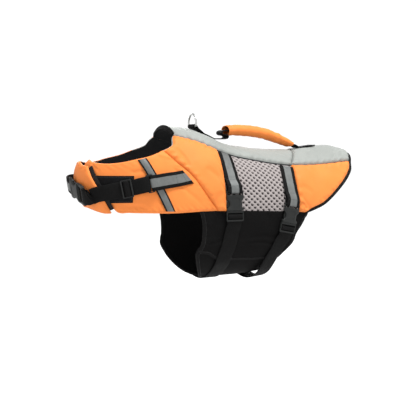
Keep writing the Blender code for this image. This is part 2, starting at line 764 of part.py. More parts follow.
def socket_turn():
    """Webbing that turns round the socket's bar, in the buckle's b and c: over, down, back under."""
    b = TOP_END + BAR
    return [(TOP_END - 7, 5.2), (TOP_END - 2.5, 6.05), (TOP_END - 0.5, SEWN_HIGH), (b + 0.3, SEWN_HIGH),
            (b + 1.3, 5.3), (b + 1.6, 3.55), (b + 1.3, 1.9), (b + 0.3, UNDER_HIGH),
            (TOP_END - 1.5, UNDER_HIGH), (TOP_END - 6, 0.8)]


def ladder_climb():
    """Webbing threaded through the plug's ladder, from its tail out past the end bar."""
    step = MOUTH + TO_SLOTS
    over = PLUG_HIGH + 2 * LIE + WEB_THICK / 2
    return [(MOUTH + 1.2, 1.2), (step + 0.5, 1.25), (step + SLOT - 0.3, over),
            (step + SLOT + 2.8, over), (MOUTH + LADDER - BAR - 0.5, 1.25), (MOUTH + LADDER + 1, 1.2),
            (MOUTH + LADDER + 5, 0.6)]


def in_place(place, rows):
    return place.points([(0, b, c) for b, c in rows])


# ---------------------------------------------------------------- girth straps

Lay = namedtuple("Lay", "angle x under")   # webbing under the belly, and its gap over the skin
Girth = namedtuple("Girth", "name strap sewn_end buckle along belly")
ON_MESH = MESH + LIE + WEB_THICK / 2
ON_BELLY = NEOPRENE + LIE
ON_FLAP = 2 * NEOPRENE + 3 * LIE
GIRTHS = (
    Girth(
        "front",
        (Top(-95.5, -62.8), Side(-96.1, -20), Side(-96.3, -36), Side(-96.4, -50)),
        Side(-96.4, -105.5),
        Side(-95.6, -98.9), Side(-96.4, -150),
        (
            Lay(70, -98.4, ON_BELLY + 0.6), Lay(62, -101, ON_BELLY + 2), Lay(55, -104, ON_FLAP + 0.1),
            Lay(47, -107, ON_FLAP), Lay(39, -107, ON_FLAP - 0.4), Lay(31, -107, ON_BELLY + 0.6),
            Lay(18, -107, ON_BELLY), Lay(6, -107, ON_BELLY), Lay(-6, -107, ON_BELLY),
            Lay(-18, -107, ON_BELLY), Lay(-31, -107, ON_BELLY), Lay(-44, -106.5, ON_BELLY),
            Lay(-58, -104, ON_BELLY), Lay(-74, -100, ON_BELLY), Lay(-87.5, -96.6, ON_BELLY),
        ),
    ),
    Girth(
        "rear",
        (Top(39.5, -71), Side(35.6, -48), Side(33.3, -66), Side(32.6, -76)),
        Side(31.7, -110.5),
        Side(24.6, -126.6), Side(17.4, -160),
        (
            Lay(59, 9, ON_BELLY + 3.4), Lay(52, 3.5, ON_FLAP + 0.6), Lay(44, -3, ON_FLAP + 1.5),
            Lay(36, -7, ON_FLAP + 4), Lay(28, -9, ON_FLAP + 6), Lay(18, -10, ON_FLAP + 5.5),
            Lay(6, -9, ON_FLAP + 3), Lay(-6, -8, ON_FLAP + 0.5), Lay(-18, -7, ON_BELLY + 2),
            Lay(-31, -5, ON_BELLY + 0.6), Lay(-44, 0, ON_BELLY), Lay(-58, 7.5, ON_BELLY),
            Lay(-74, 19.5, ON_BELLY), Lay(-86, 30, ON_BELLY),
        ),
    ),
)
DOUBLED = np.array([0.4, 0.3, 0.2, 0.2, 0.5, 1.6, 2.45])  # the sewn strap climbs onto its own turned end


def make_girths():
    for strap in GIRTHS:
        origin = flank(strap.buckle.x, strap.buckle.z)
        along = flank(strap.along.x, strap.along.z) - origin
        place = Place(origin + outward(origin) * BUCKLE_RISE, along, outward(origin))
        buckle(f"girth_buckle_{strap.name}", place, WEB)

        line = Seam(points_of(strap.strap))
        skin = line.at(np.linspace(0, line.run[-1], len(DOUBLED)))
        turn = in_place(place, socket_turn())
        tail = above_skin(skin[-1:], ON_MESH + 0.2)
        path = np.concatenate([above_skin(skin, ON_MESH + DOUBLED), turn, tail])
        sideways = across_skin(skin)
        across = np.concatenate([sideways, np.tile(place.a, (len(turn), 1)), sideways[-1:]])
        ribbon(f"girth_strap_{strap.name}_L", path, across, WEB, WEB_THICK, WEBBING)

        line = Seam(points_of((*strap.strap, strap.sewn_end), 1))
        skin = line.at(np.linspace(0, line.run[-1], 9))
        ribbon(f"girth_strap_{strap.name}_R", above_skin(skin, ON_MESH + 0.3), across_skin(skin), WEB,
               WEB_THICK, WEBBING)

        table = np.array(strap.belly, float)
        steps = np.arange(len(table))
        fine = np.linspace(0, len(table) - 1, 2 * len(table) - 1)
        angle, x, under = [smooth_table(steps, table[:, column], fine) for column in range(3)]
        skin = np.array([girth(*row) for row in zip(x, angle)])
        high = under + LIE + WEB_THICK / 2
        climb = in_place(place, ladder_climb())
        path = np.concatenate([climb, above_skin(skin, high)])
        across = np.concatenate([np.tile(place.a, (len(climb), 1)), across_skin(skin)])
        ribbon(f"belly_webbing_{strap.name}", path, across, WEB, WEB_THICK, WEBBING)


# ---------------------------------------------------------------- chest fastening

TAPE_LINE = (Side(-268.5, -12), Side(-252.5, -42), Side(-239, -68), Side(-221, -104))
PATCH_TOP = (Side(-284, -41), Side(-300, -41), Breast(-58, -41), Breast(-41, -41))
PATCH_LOW = (Side(-285.5, -86), Side(-300, -86), Breast(-58, -86), Breast(-41, -85))
HOOK_OUT, HOOK_IN = 7.0, 30.0           # the hook strip past the right panel's end, and under it
STRAP_LEFT = (Side(-185, -45), Side(-205, -48), Side(-228, -50.5), Side(-235, -51.5), Side(-247, -53))
STRAP_LEFT_UNDER = (5.6, 5.7, 7.7, 10.2, 10.3)
STRAP_LEFT_TAIL = (8.4, 8.8)            # the strap's turned end, above the skin
STRAP_RIGHT = (
    Side(-185, -45), Side(-205, -48), Side(-232, -51), Side(-256, -53.5), Side(-272, -54.5),
    Side(-292, -55), Side(-314, -55),
)
STRAP_RIGHT_UNDER = (5.6, 5.8, 7.9, 8.0, 6.1, 5.8, 6.8)
RING_AT = Side(-258.5, -54.5)
RING_RISE = 9.6
SLIDER_AT = Side(-294.5, -62)
SLIDER_RISE = 9.3
WEBBING_CORNER = (Side(-310, -64.5), Side(-318, -66.5), Breast(-50, -69))
CORNER_OUTER = (11.0, 14.4, 18.5)       # the doubled webbing's outer run there, above the skin
CORNER_INNER = (15.8, 11.8, 8.4)        # and its inner run, on the way back
CHEST_BUCKLE_AT, CHEST_BUCKLE_TO = Breast(-11, -64), Breast(-40, -71.5)
CHEST_BUCKLE_RISE = RIGHT_BASE + CHEST_FOAM + 0.45
CHEST_RAIL = 5.0
RING_LONG, RING_BAR, RING_THICK = 13.0, 3.0, 2.6
SLIDER_LONG, SLIDER_BAR, SLIDER_MIDDLE, SLIDER_THICK = 24.0, 2.5, 4.0, 2.2
BELOW = -LIE - WEB_THICK / 2             # webbing that passes under a flat frame


def over(thick):
    """Height of the middle of webbing that passes over a flat frame."""
    return thick + LIE + WEB_THICK / 2


def turn_round_bar(edge, thick, way):
    """Webbing in b and c that comes over a bar, round its edge at b = `edge`, and back under it."""
    top = over(thick)
    return [(edge - 5 * way, top), (edge + 0.3 * way, top), (edge + 1.3 * way, top - 1.1),
            (edge + 1.6 * way, thick / 2), (edge + 1.3 * way, BELOW + 1.1),
            (edge + 0.3 * way, BELOW), (edge - 5 * way, BELOW)]


def make_chest_pieces():
    line = Seam(points_of(TAPE_LINE))
    skin = line.points(7)
    rise = np.full(len(skin), CHEST_FOAM + 2.4 * LIE)
    rise[[0, -1]] = PINCH + 5 * LIE
    for mark, flip in (("L", np.array), ("R", mirrored)):
        path = flip(skin)
        ribbon(f"chest_tape_{mark}", above_skin(path, rise + TAPE_THICK / 2), across_skin(path), TAPE,
               TAPE_THICK, SILVER)

    top = Seam(points_of(PATCH_TOP)).points(7, rims=(False, False))
    low = Seam(points_of(PATCH_LOW)).points(7, rims=(False, False))
    ways = np.linspace(0, 1, 5)[:, None]
    grid = patch(low, top, low[:1] + (top[:1] - low[:1]) * ways, low[-1:] + (top[-1:] - low[-1:]) * ways)
    wall("loop_patch", to_skin(grid), PATCH_THICK, BLACK, base=CHEST_FOAM + LIE)

    end = Seam(points_of(RIGHT_END)).points(7, rims=(False, False))
    strip = [offset_line(end, way) for way in (-HOOK_OUT, 0.0, HOOK_IN / 2, HOOK_IN)]
    wall("hook_strip", np.stack(strip), HOOK_THICK, BLACK, base=CHEST_FOAM + PATCH_THICK + 2.6 * LIE)

    make_chest_webbing()


def make_chest_webbing():
    spot = points_of((RING_AT,))[0]
    ahead = points_of((SLIDER_AT,))[0] - spot
    ring = Place(spot + outward(spot) * RING_RISE, ahead, outward(spot))
    half = CHEST_WEB / 2 + 0.5
    plate("chest_ring", ring, rounded(half + RING_BAR, -RING_LONG / 2, RING_LONG / 2, 2),
          [rectangle(half, RING_BAR - RING_LONG / 2, RING_LONG / 2 - RING_BAR)], 0, RING_THICK, PLASTIC)

    spot = points_of((SLIDER_AT,))[0]
    slider = Place(spot + outward(spot) * SLIDER_RISE, ahead, outward(spot))
    end = SLIDER_LONG / 2
    middle = SLIDER_MIDDLE / 2
    plate("chest_slider", slider, rounded(half + SLIDER_BAR, -end, end, 2),
          [rectangle(half, SLIDER_BAR - end, -middle), rectangle(half, middle, end - SLIDER_BAR)],
          0, SLIDER_THICK, PLASTIC)

    spot = breast(*CHEST_BUCKLE_AT)
    clasp = Place(spot + outward(spot) * CHEST_BUCKLE_RISE, breast(*CHEST_BUCKLE_TO) - spot, outward(spot))
    buckle("chest_buckle", clasp, CHEST_WEB, CHEST_RAIL)

    skin = np.array(points_of(STRAP_LEFT))
    high = np.array(STRAP_LEFT_UNDER) + WEB_THICK / 2
    edge = RING_BAR - RING_LONG / 2
    turn = in_place(ring, turn_round_bar(edge, RING_THICK, 1))
    tail = above_skin(skin[-1:-3:-1], STRAP_LEFT_TAIL)
    path = np.concatenate([above_skin(skin, high), turn, tail])
    across = np.concatenate([across_skin(skin), np.tile(ring.a, (len(turn) + 2, 1))])
    ribbon("chest_strap_L", path, across, CHEST_WEB, WEB_THICK, WEBBING, slant=-7.0)

    under = in_place(ring, turn_round_bar(-edge, RING_THICK, -1)[::-1])
    slope = SLIDER_LONG / 2 - SLIDER_BAR - 0.5
    through = in_place(slider, [
        (-end - 1.5, BELOW - 0.2), (-slope, BELOW - 0.1), (-middle - 0.6, over(SLIDER_THICK)),
        (middle + 0.6, over(SLIDER_THICK)), (slope, BELOW - 0.1), (end + 1.5, BELOW),
    ])
    corner = points_of(WEBBING_CORNER)
    outer = above_skin(corner, CORNER_OUTER)
    plug_end = MOUTH + LADDER
    turn = [(b, PLUG_LOW + c) for b, c in turn_round_bar(plug_end - BAR, PLUG_HIGH - PLUG_LOW, -1)]
    lead = plug_end + 8
    turn = in_place(clasp, [(lead, 4.0), *turn, (lead, -1.5)])
    inner = above_skin(corner[::-1], CORNER_INNER)
    path = np.concatenate([under, through, outer, turn, inner])
    across = np.concatenate([
        np.tile(ring.a, (len(under), 1)), np.tile(slider.a, (len(through), 1)), across_skin(outer),
        np.tile(clasp.a, (len(turn), 1)), across_skin(inner[::-1])[::-1],
    ])
    ribbon("chest_webbing", path, across, CHEST_WEB, WEB_THICK, WEBBING)

    skin = np.array(points_of(STRAP_RIGHT, 1))
    high = np.array(STRAP_RIGHT_UNDER) + WEB_THICK / 2
    turn = in_place(clasp, socket_turn())
    path = np.concatenate([above_skin(skin, high), turn])
    across = np.concatenate([across_skin(skin), np.tile(clasp.a, (len(turn), 1))])
    ribbon("chest_strap_R", path, across, CHEST_WEB, WEB_THICK, WEBBING, slant=7.0)


# ---------------------------------------------------------------- lead ring and handle

RING_PIVOT = (-130.0, 0.0, 50.5)        # middle of the lead ring's bar
RING_WIRE = 2.0                         # its radius
RING_HALF, RING_HIGH = 17.0, 24.0       # from its middle to its sides, and from its bar to its top
TAB_WEB = 27.0
TAB_FOOT = -117.0                       # where the tab leaves the back
SPINE_END = -98.0                       # the tab's webbing is sewn along the spine to here
FOOT_START, FOOT_END = -97.0, -92.0     # the handle's webbing starts there and leaves the back here

Grip = namedtuple("Grip", "x z high half")
GRIP = (                                # the padded sleeve: its middle, half height and half width
    Grip(-57, 43, 10.5, 18), Grip(-35, 44, 11, 18), Grip(-10, 43, 11.3, 18), Grip(15, 40.5, 11.3, 18),
    Grip(40, 35.5, 11, 18), Grip(62, 28.5, 10, 18), Grip(80, 21.5, 8.2, 18), Grip(94, 16.5, 6, 18),
)
SLEEVE_WALL = 2.5
SLEEVE_SIDES = 16                       # with one flat along the top and one along the bottom
SLEEVE_REAR = (104.0, 0.0, 13.5)        # the handle's webbing behind the sleeve, on its way down
REAR_FOOT = (113.0, 152.0)              # and its stretch that is sewn to the back
FOLD = (Top(-80, 26.6), Top(-72, 26.6), Top(-61, 27), Top(-57.4, 28.6), Top(-56.4, 31), Top(-58.5, 33.2),
        Top(-63, 34), Top(-68, 35), Top(-70.6, 37.6), Top(-69.2, 41), Top(-64, 42.8))


def on_back(x):
    """Middle of webbing that lies along the middle of the back at x."""
    point = crest(x, 0)
    return point + outward(point) * (BACK_FOAM + 2 * LIE + WEB_THICK / 2)


def make_lead_ring():
    bar = np.array(RING_PIVOT)
    foot = on_back(TAB_FOOT)
    way = unit(bar - foot)
    back = np.array([-way[2], 0, way[0]])
    back = back if back[0] > 0 else -back
    spread = RING_WIRE + LIE + WEB_THICK / 2
    arc = [bar + (back * math.cos(turn) + way * math.sin(turn)) * spread
           for turn in np.linspace(math.radians(-15), math.radians(195), 9)]
    gap = (WEB_THICK + LIE) / 2
    path = [on_back(x) for x in np.linspace(SPINE_END, TAB_FOOT + 3, 4)]
    path += [foot + way * 4 + back * gap, foot + way * 12 + back * gap] + arc
    path += [foot + way * 12 - back * gap, foot + way * 3.5 - back * gap]
    ribbon("ring_tab", path, (0, 1, 0), TAB_WEB, WEB_THICK, WEBBING)

    corner = 4.0
    rows = [(-RING_HALF + corner, 0), (0, 0), (RING_HALF - corner, 0)]
    rows += [(RING_HALF - corner + corner * math.sin(t), corner - corner * math.cos(t))
             for t in np.linspace(0, math.pi / 2, 4)[1:]]
    low = corner + 1
    rows += [(RING_HALF * math.cos(t), low + (RING_HIGH - low) * math.sin(t))
             for t in np.linspace(0.12, math.pi - 0.12, 13)]
    rows += [(-RING_HALF + corner - corner * math.sin(t), corner - corner * math.cos(t))
             for t in np.linspace(math.pi / 2, 0, 4)[:-1]]
    ring = tube("lead_ring", [bar + np.array([0, y, z]) for y, z in rows], RING_WIRE, STEEL)
    pivot = Vector(bar * MM)
    ring.data.transform(Matrix.Translation(-pivot))
    ring.location = pivot


def make_handle():
    grips = np.array(GRIP, float)
    runs = np.linspace(grips[0, 0], grips[-1, 0], 10)
    middle = np.stack([runs, np.zeros(len(runs)), smooth_table(grips[:, 0], grips[:, 1], runs)], axis=1)
    high = smooth_table(grips[:, 0], grips[:, 2], runs)
    half = smooth_table(grips[:, 0], grips[:, 3], runs)
    tangent = np.gradient(middle, axis=0)
    up = np.cross(tangent, (0, 1, 0))
    up /= np.linalg.norm(up, axis=1, keepdims=True)
    up *= np.sign(up[:, 2:])
    turns = 2 * math.pi * (np.arange(SLEEVE_SIDES) + 0.5) / SLEEVE_SIDES
    layers = []
    for inset in (0.0, SLEEVE_WALL):
        rings = [
            middle[i] + np.outer(np.cos(turns) * (half[i] - inset), (0, 1, 0))
            + np.outer(np.sin(turns) * (high[i] - inset), up[i])
            for i in range(len(runs))
        ]
        layers.append(flat(rings))
    sides, count = len(turns), len(runs)
    faces = []
    for layer in (0, sides * count):
        for i in range(count - 1):
            for k in range(sides):
                here, there = layer + i * sides + k, layer + i * sides + (k + 1) % sides
                faces.append((here, there, there + sides, here + sides))
    for i in (0, count - 1):
        for k in range(sides):
            here, there = i * sides + k, i * sides + (k + 1) % sides
            faces.append((here, there, there + sides * count, here + sides * count))
    closed_mesh("handle_sleeve", np.concatenate(layers), faces, ORANGE)

    front = [on_back(x) for x in (FOOT_START, FOOT_END)]
    fold = [np.array([x, 0, z]) for x, z in FOLD]
    rear = [np.array(SLEEVE_REAR)] + [on_back(x) for x in np.linspace(*REAR_FOOT, 4)]
    path = np.concatenate([front, fold, middle, rear])
    ribbon("handle_webbing", path, (0, 1, 0), TAB_WEB, WEB_THICK, WEBBING)


# ---------------------------------------------------------------- run

def main():
    clear_scene()
    make_panels()
    make_girths()
    make_chest_pieces()
    make_lead_ring()
    make_handle()


main()
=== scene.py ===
"""Looks of a dog life jacket: its cloth, foam, webbing, buckles and metal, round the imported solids.

The frame gives the bodies and the nodes. Sizes here are millimetres in the frame's axes: the wearer's
head is toward -X, its left side toward -Y, and up is +Z. Every cloth piece is laid on one smooth
hollow trunk, called the skin: seams are lines on it, and heights are measured outward from it.
"""

from __future__ import annotations

import logging
import math
from dataclasses import dataclass, replace
from enum import Enum
from functools import cached_property
from typing import Any, Callable, NamedTuple, Sequence

import bmesh
import bpy
import numpy as np
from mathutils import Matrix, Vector, geometry

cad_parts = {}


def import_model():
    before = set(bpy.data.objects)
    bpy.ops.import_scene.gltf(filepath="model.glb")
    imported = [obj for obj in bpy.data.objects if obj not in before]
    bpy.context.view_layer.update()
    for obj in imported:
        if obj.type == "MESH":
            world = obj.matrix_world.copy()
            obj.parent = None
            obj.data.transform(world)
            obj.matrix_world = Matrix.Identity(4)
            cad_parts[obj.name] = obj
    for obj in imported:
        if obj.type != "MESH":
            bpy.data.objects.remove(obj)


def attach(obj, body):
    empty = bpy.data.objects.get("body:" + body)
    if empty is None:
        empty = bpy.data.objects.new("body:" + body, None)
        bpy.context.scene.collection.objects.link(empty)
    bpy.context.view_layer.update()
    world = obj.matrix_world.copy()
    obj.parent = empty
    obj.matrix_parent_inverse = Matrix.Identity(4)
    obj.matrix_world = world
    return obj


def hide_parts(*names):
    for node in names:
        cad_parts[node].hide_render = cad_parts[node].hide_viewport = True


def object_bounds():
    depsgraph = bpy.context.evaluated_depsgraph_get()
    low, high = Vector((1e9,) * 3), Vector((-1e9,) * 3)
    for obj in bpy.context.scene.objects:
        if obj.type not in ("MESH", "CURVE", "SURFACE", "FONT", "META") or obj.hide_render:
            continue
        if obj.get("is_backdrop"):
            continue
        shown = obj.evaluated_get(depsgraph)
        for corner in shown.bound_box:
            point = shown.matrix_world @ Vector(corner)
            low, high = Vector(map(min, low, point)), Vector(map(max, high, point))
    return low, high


LOG = logging.getLogger("life_jacket")
MM = 0.001
JACKET, RING_BODY = "jacket", "lead_ring"
UV = "cloth"                        # the cloth coordinates, in millimetres across and along a piece
Array, Object, Material = np.ndarray, bpy.types.Object, bpy.types.Material
Point = tuple[float, float]         # a place in a plane, or any pair of measures
Row = tuple[Array, Array]           # a line of points, and at each the way out or the way across


# -------- the skin

class Section(NamedTuple):
    """One cross-section of the trunk."""

    x: float
    top: float
    bottom: float
    half: float
    widest: float


class Side(NamedTuple):
    """A point on the left flank."""

    x: float
    z: float


class Top(NamedTuple):
    """A point on the back."""

    x: float
    y: float


class Breast(NamedTuple):
    """A point on the front of the chest."""

    y: float
    z: float


class Under(NamedTuple):
    """A point round the trunk: 0 at the keel, 90 on the left flank."""

    x: float
    angle: float


def rows_of(kind: Any, *rows: Sequence[float]) -> tuple[Any, ...]:
    """A table whose rows are all of one kind."""
    return tuple(kind(*row) for row in rows)


def between_rows(keys: Array, values: Array, slopes: Array, at: Array) -> Array:
    """Values between the rows of a table.

    Args:
        keys: Where the rows are, rising.
        values: What they hold: one number a row, or several.
        slopes: How steeply that changes at each row.
        at: Where values are wanted.

    Returns:
        Values on a smooth curve through the rows.
    """
    at = np.clip(at, keys[0], keys[-1])
    row = np.clip(np.searchsorted(keys, at) - 1, 0, len(keys) - 2)
    several = (...,) + (None,) * (values.ndim - 1)
    step = keys[row + 1] - keys[row]
    t, step = ((at - keys[row]) / step)[several], step[several]
    return (
        (2 * t**3 - 3 * t**2 + 1) * values[row]
        + (t**3 - 2 * t**2 + t) * step * slopes[row]
        + (3 * t**2 - 2 * t**3) * values[row + 1]
        + (t**3 - t**2) * step * slopes[row + 1]
    )


def smooth_table(keys: Array, values: Array, at: Array) -> Array:
    """Values between the rows of a table, on a smooth curve through them."""
    return between_rows(keys, values, np.gradient(values, keys, axis=0), at)


def ease(t: Array | float) -> Array:
    """A share from 0 to 1 that starts and ends softly."""
    t = np.clip(t, 0, 1)
    return t * t * (3 - 2 * t)


def unit(vectors: Any) -> Array:
    """Vectors at length 1."""
    vectors = np.asarray(vectors, float)
    return vectors / np.maximum(np.linalg.norm(vectors, axis=-1, keepdims=True), 1e-12)


def mirrored(points: Array) -> Array:
    """Points on the wearer's other side."""
    return np.asarray(points) * np.array([1, -1, 1])


def runs(points: Array, axis: int = 0) -> Array:
    """Length from the start along lines of points, in which `axis` counts a line's points."""
    steps = np.linalg.norm(np.diff(points, axis=axis), axis=-1)
    return np.concatenate([np.zeros_like(np.take(steps, [0], axis)), np.cumsum(steps, axis)], axis)


def read(at: Any, run: Array, values: Array) -> Array:
    """Rows of values at distances along a line whose length at each row is `run`."""
    return np.stack([np.interp(at, run, values[:, axis]) for axis in range(3)], axis=-1)


def resampled(line: Array, count: int) -> Array:
    """`count` points spread evenly along a line."""
    run = runs(line)
    return read(np.linspace(0, run[-1], count), run, line)


def joined(*stretches: Row) -> Row:
    """Several stretches of a line as one."""
    return tuple(np.concatenate(values) for values in zip(*stretches))


def smoothed(rows: Array, at: Array) -> Array:
    """Points at distances along a smooth line through rows of points."""
    return smooth_table(runs(rows), rows, at)


def arc(a: float, b: float, wide: float, tall: float, start: float, end: float, count: int) -> list[Point]:
    """Points on an ellipse about a, b, from one angle to another in degrees."""
    turns = np.radians(np.linspace(start, end, count))
    return [(a + wide * math.cos(turn), b + tall * math.sin(turn)) for turn in turns]


def section(sides: int, wide: float = 1.0, tall: float = 1.0) -> Array:
    """Rows of across and out round a section of radius 1. Powers below 1 make it squarer."""
    ring = np.array(arc(0, 0, 1, 1, 0, 360, sides + 1)[:-1])
    return np.sign(ring) * np.abs(ring) ** (wide, tall)


def tube(line: Array, across: Array, out: Array, rows: Array) -> Array:
    """Rings about a line.

    Args:
        line: Its points.
        across: Which way is across, at each.
        out: Which way is out, at each.
        rows: Places across and out round a ring, for all the rings or for each.

    Returns:
        Points by ring and by place round it.
    """
    return line[:, None] + across[:, None] * rows[..., :1] + out[:, None] * rows[..., 1:]


@dataclass(frozen=True)
class Trunk:
    """The hollow that the worn jacket encloses, as sections that flow into each other."""

    sections: tuple[Section, ...] = rows_of(
        Section, (-400, 0, -100, 94, -43), (-340, 25, -130, 95, -45), (-280, 70, -180, 96, -60),
        (-230, 62, -230, 98, -90), (-190, 42, -245, 100, -102), (-150, 38, -244, 102, -106),
        (-113, 26, -243, 104, -108), (-80, 12, -243, 105, -110), (-24, 2, -242, 105, -114),
        (47, -3, -232, 103, -114), (96, -3, -218, 100, -110), (134, 1, -206, 96, -105),
        (172, 5, -195, 90, -98), (211, 1, -185, 83, -92), (260, -16, -178, 74, -90))
    chest_starts: float = -215.0
    chest_depth: float = 136.0
    side_power: float = 2.15
    top_power: float = 2.0
    low_power: float = 2.2
    chest_power: float = 2.3

    @cached_property
    def table(self) -> tuple[Array, Array, Array]:
        """Where the sections are, what they hold and how steeply that changes."""
        rows = np.array(self.sections, float)
        return rows[:, 0], rows[:, 1:], np.gradient(rows[:, 1:], rows[:, 0], axis=0)

    def section(self, x: Array) -> list[Array]:
        """Top, bottom, half width and height of the widest place at x."""
        return list(between_rows(*self.table, x).T)

    def level(self, points: Array) -> Array:
        """Below 0 inside the trunk, 0 on the skin and above 0 outside it, for rows of x, y, z.

        Args:
            points: Rows of x, y, z.

        Returns:
            One number for each.
        """
        x, y, z = points[:, 0], points[:, 1], points[:, 2]
        top, bottom, half, widest = self.section(x)
        rise = z - widest
        upper = np.abs(rise / (top - widest)) ** self.top_power
        lower = np.abs(rise / (widest - bottom)) ** self.low_power
        chest = np.clip((self.chest_starts - x) / self.chest_depth, 0, None) ** self.chest_power
        return np.abs(y / half) ** self.side_power + np.where(rise > 0, upper, lower) + chest - 1

    def steepest(self, points: Array, step: float = 0.01) -> Array:
        """The slope of `level` at rows of points.

        Args:
            points: Rows of x, y, z.
            step: How far to both sides the level is read.

        Returns:
            How steeply it rises along x, y and z.
        """
        moves = np.eye(3) * step
        return np.stack([(self.level(points + move) - self.level(points - move)) / (2 * step)
                         for move in moves], axis=1)

    def outward(self, points: Array) -> Array:
        """Unit vectors away from the skin, in the shape of `points`."""
        points = np.asarray(points, float)
        return unit(self.steepest(points.reshape(-1, 3))).reshape(points.shape)

    def settle(self, points: Array, steps: int = 25) -> Array:
        """Points moved onto the skin along its steepest slope.

        Args:
            points: Points near the skin.
            steps: How many moves at most.

        Returns:
            Skin points, in the shape of `points`.
        """
        moved = np.asarray(points, float).reshape(-1, 3).copy()
        for _ in range(steps):
            level = self.level(moved)
            if np.abs(level).max() < 1e-9:
                break
            slope = self.steepest(moved)
            step = slope * (level / ((slope**2).sum(axis=1) + 1e-12))[:, None]
            size = np.linalg.norm(step, axis=1, keepdims=True)
            moved -= step * np.minimum(1, 10 / np.maximum(size, 1e-9))
        return moved.reshape(np.shape(points))

    def flank(self, x: float, z: float, side: int = -1) -> Array:
        """The skin point at x and z, on the left side (-1) or the right one (1).

        Args:
            x: Place along the trunk.
            z: Height.
            side: -1 for the left side, 1 for the right one.

        Returns:
            The point.
        """
        top, bottom, half, widest = [float(v[0]) for v in self.section(np.array([float(x)]))]
        share = ((z - widest) / (top - widest)) ** self.top_power if z > widest else (
            (widest - z) / (widest - bottom)) ** self.low_power
        chest = max((self.chest_starts - x) / self.chest_depth, 0) ** self.chest_power
        left = max(1 - share - chest, 0.02)
        return self.settle(np.array([x, side * half * left ** (1 / self.side_power), z]))

    def crest(self, x: float, y: float) -> Array:
        """The skin point on the back at x and y.

        Args:
            x: Place along the trunk.
            y: Place across it.

        Returns:
            The point.
        """
        top, _, half, widest = [float(v[0]) for v in self.section(np.array([float(x)]))]
        left = max(1 - abs(y / half) ** self.side_power, 0.02)
        return self.settle(np.array([x, y, widest + (top - widest) * left ** (1 / self.top_power)]))

    def leaving(self, start: Array, way: Array, far: float) -> Array:
        """Where lines from points inside leave the trunk, within a distance of `far`.

        Args:
            start: Points inside.
            way: Which way each line runs.
            far: How far at most.

        Returns:
            One skin point for each line.
        """
        near, far = np.zeros(len(start)), np.full(len(start), far)
        for _ in range(40):
            half = (near + far) / 2
            inside = self.level(start + way * half[:, None]) < 0
            near, far = np.where(inside, half, near), np.where(inside, far, half)
        return start + way * near[:, None]

    def breast(self, y: float, z: float) -> Array:
        """The skin point on the front of the chest at y and z."""
        start = np.array([[self.chest_starts, y, z]])
        return self.leaving(start, np.array([[-1.0, 0, 0]]), self.chest_depth + 5)[0]

    def girth(self, x: Array, angle: Array) -> Array:
        """Skin points at x and an angle round the trunk: 0 at the keel, 90 left, -90 right.

        Args:
            x: Places along the trunk.
            angle: The angle of each, in degrees.

        Returns:
            Rows of skin points.
        """
        x, angle = np.asarray(x, float).ravel(), np.radians(np.asarray(angle, float).ravel())
        middle = np.stack([x, np.zeros_like(x), self.section(x)[3]], axis=1)
        return self.leaving(middle, np.stack([0 * x, -np.sin(angle), -np.cos(angle)], axis=1), 400)

    def points(self, rows: Sequence[Any], side: int = -1) -> Array:
        """Skin points of rows of Side, Top, Breast and Under, written for the left side, or of points.

        Args:
            rows: The rows, or points, which stay as they are.
            side: -1 for the left side, 1 for the right one.

        Returns:
            Rows of skin points.
        """
        find = {Side: lambda x, z: self.flank(x, z, side), Top: lambda x, y: self.crest(x, -side * y),
                Breast: self.breast, Under: lambda x, angle: self.girth(x, angle)[0]}
        return np.array([find[type(row)](*row) if type(row) in find else row for row in rows])

    def raised(self, points: Array, heights: Any) -> Array:
        """Points moved off the skin by `heights`."""
        points = np.asarray(points, float)
        return points + self.outward(points) * np.reshape(heights, (-1, 1))

    def across(self, points: Array) -> Array:
        """Across a band that runs over the skin through `points`."""
        return np.cross(np.gradient(np.asarray(points), axis=0), self.outward(points))

    def band(self, points: Array, heights: Any) -> Row:
        """A band's middle line over the skin at `heights`, and the way across it."""
        return self.raised(points, heights), self.across(points)

    def beside(self, points: Array, distance: float) -> Array:
        """A line on the skin, moved over it by `distance`, to the left of its run."""
        tangent = unit(np.gradient(points, axis=0))
        return self.settle(points + np.cross(self.outward(points), tangent) * distance)


SKIN = Trunk()


class Seam:
    """A smooth line through skin points, measured along its length."""

    fine = 24

    def __init__(self, rows: Sequence[Any], side: int = -1) -> None:
        """Lay the line through rows of a table or through points.

        Args:
            rows: Rows of a table, or points.
            side: -1 for the left side, 1 for the right one.
        """
        rows = SKIN.points(rows, side)
        knots = runs(rows)
        steps = [np.linspace(*ends, self.fine, endpoint=False) for ends in zip(knots, knots[1:])]
        self.line = SKIN.settle(smoothed(rows, np.concatenate([*steps, knots[-1:]])))
        self.run = runs(self.line)

    def at(self, distance: Array) -> Array:
        """Skin points at distances along the line."""
        return SKIN.settle(read(distance, self.run, self.line), 8)

    def even(self, count: int, first: int = 0, last: int = -1) -> Array:
        """`count` even points from row `first` to row `last`."""
        rows = self.run[::self.fine]
        return self.at(np.linspace(rows[first], rows[last], count))


def patch(low: Array, high: Array, start: Array, end: Array) -> Array:
    """A grid of skin points between four lines.

    Args:
        low: Line along the first side, from start to end.
        high: Line along the opposite side, from start to end.
        start: Line from low to high where they start.
        end: Line from low to high where they end.

    Returns:
        Points by place along low and place from low to high.
    """
    def share(one: Array, other: Array) -> Array:
        """The mean share of the way along two lines."""
        return (runs(one) / runs(one)[-1] + runs(other) / runs(other)[-1]) / 2

    u, v = share(low, high)[:, None, None], share(start, end)[None, :, None]
    grid = (
        (1 - v) * low[:, None] + v * high[:, None]
        + (1 - u) * start[None] + u * end[None]
        - (1 - u) * (1 - v) * low[0] - u * (1 - v) * low[-1]
        - (1 - u) * v * high[0] - u * v * high[-1]
    )
    grid[1:-1, 1:-1] = SKIN.settle(grid[1:-1, 1:-1], 10)
    return grid


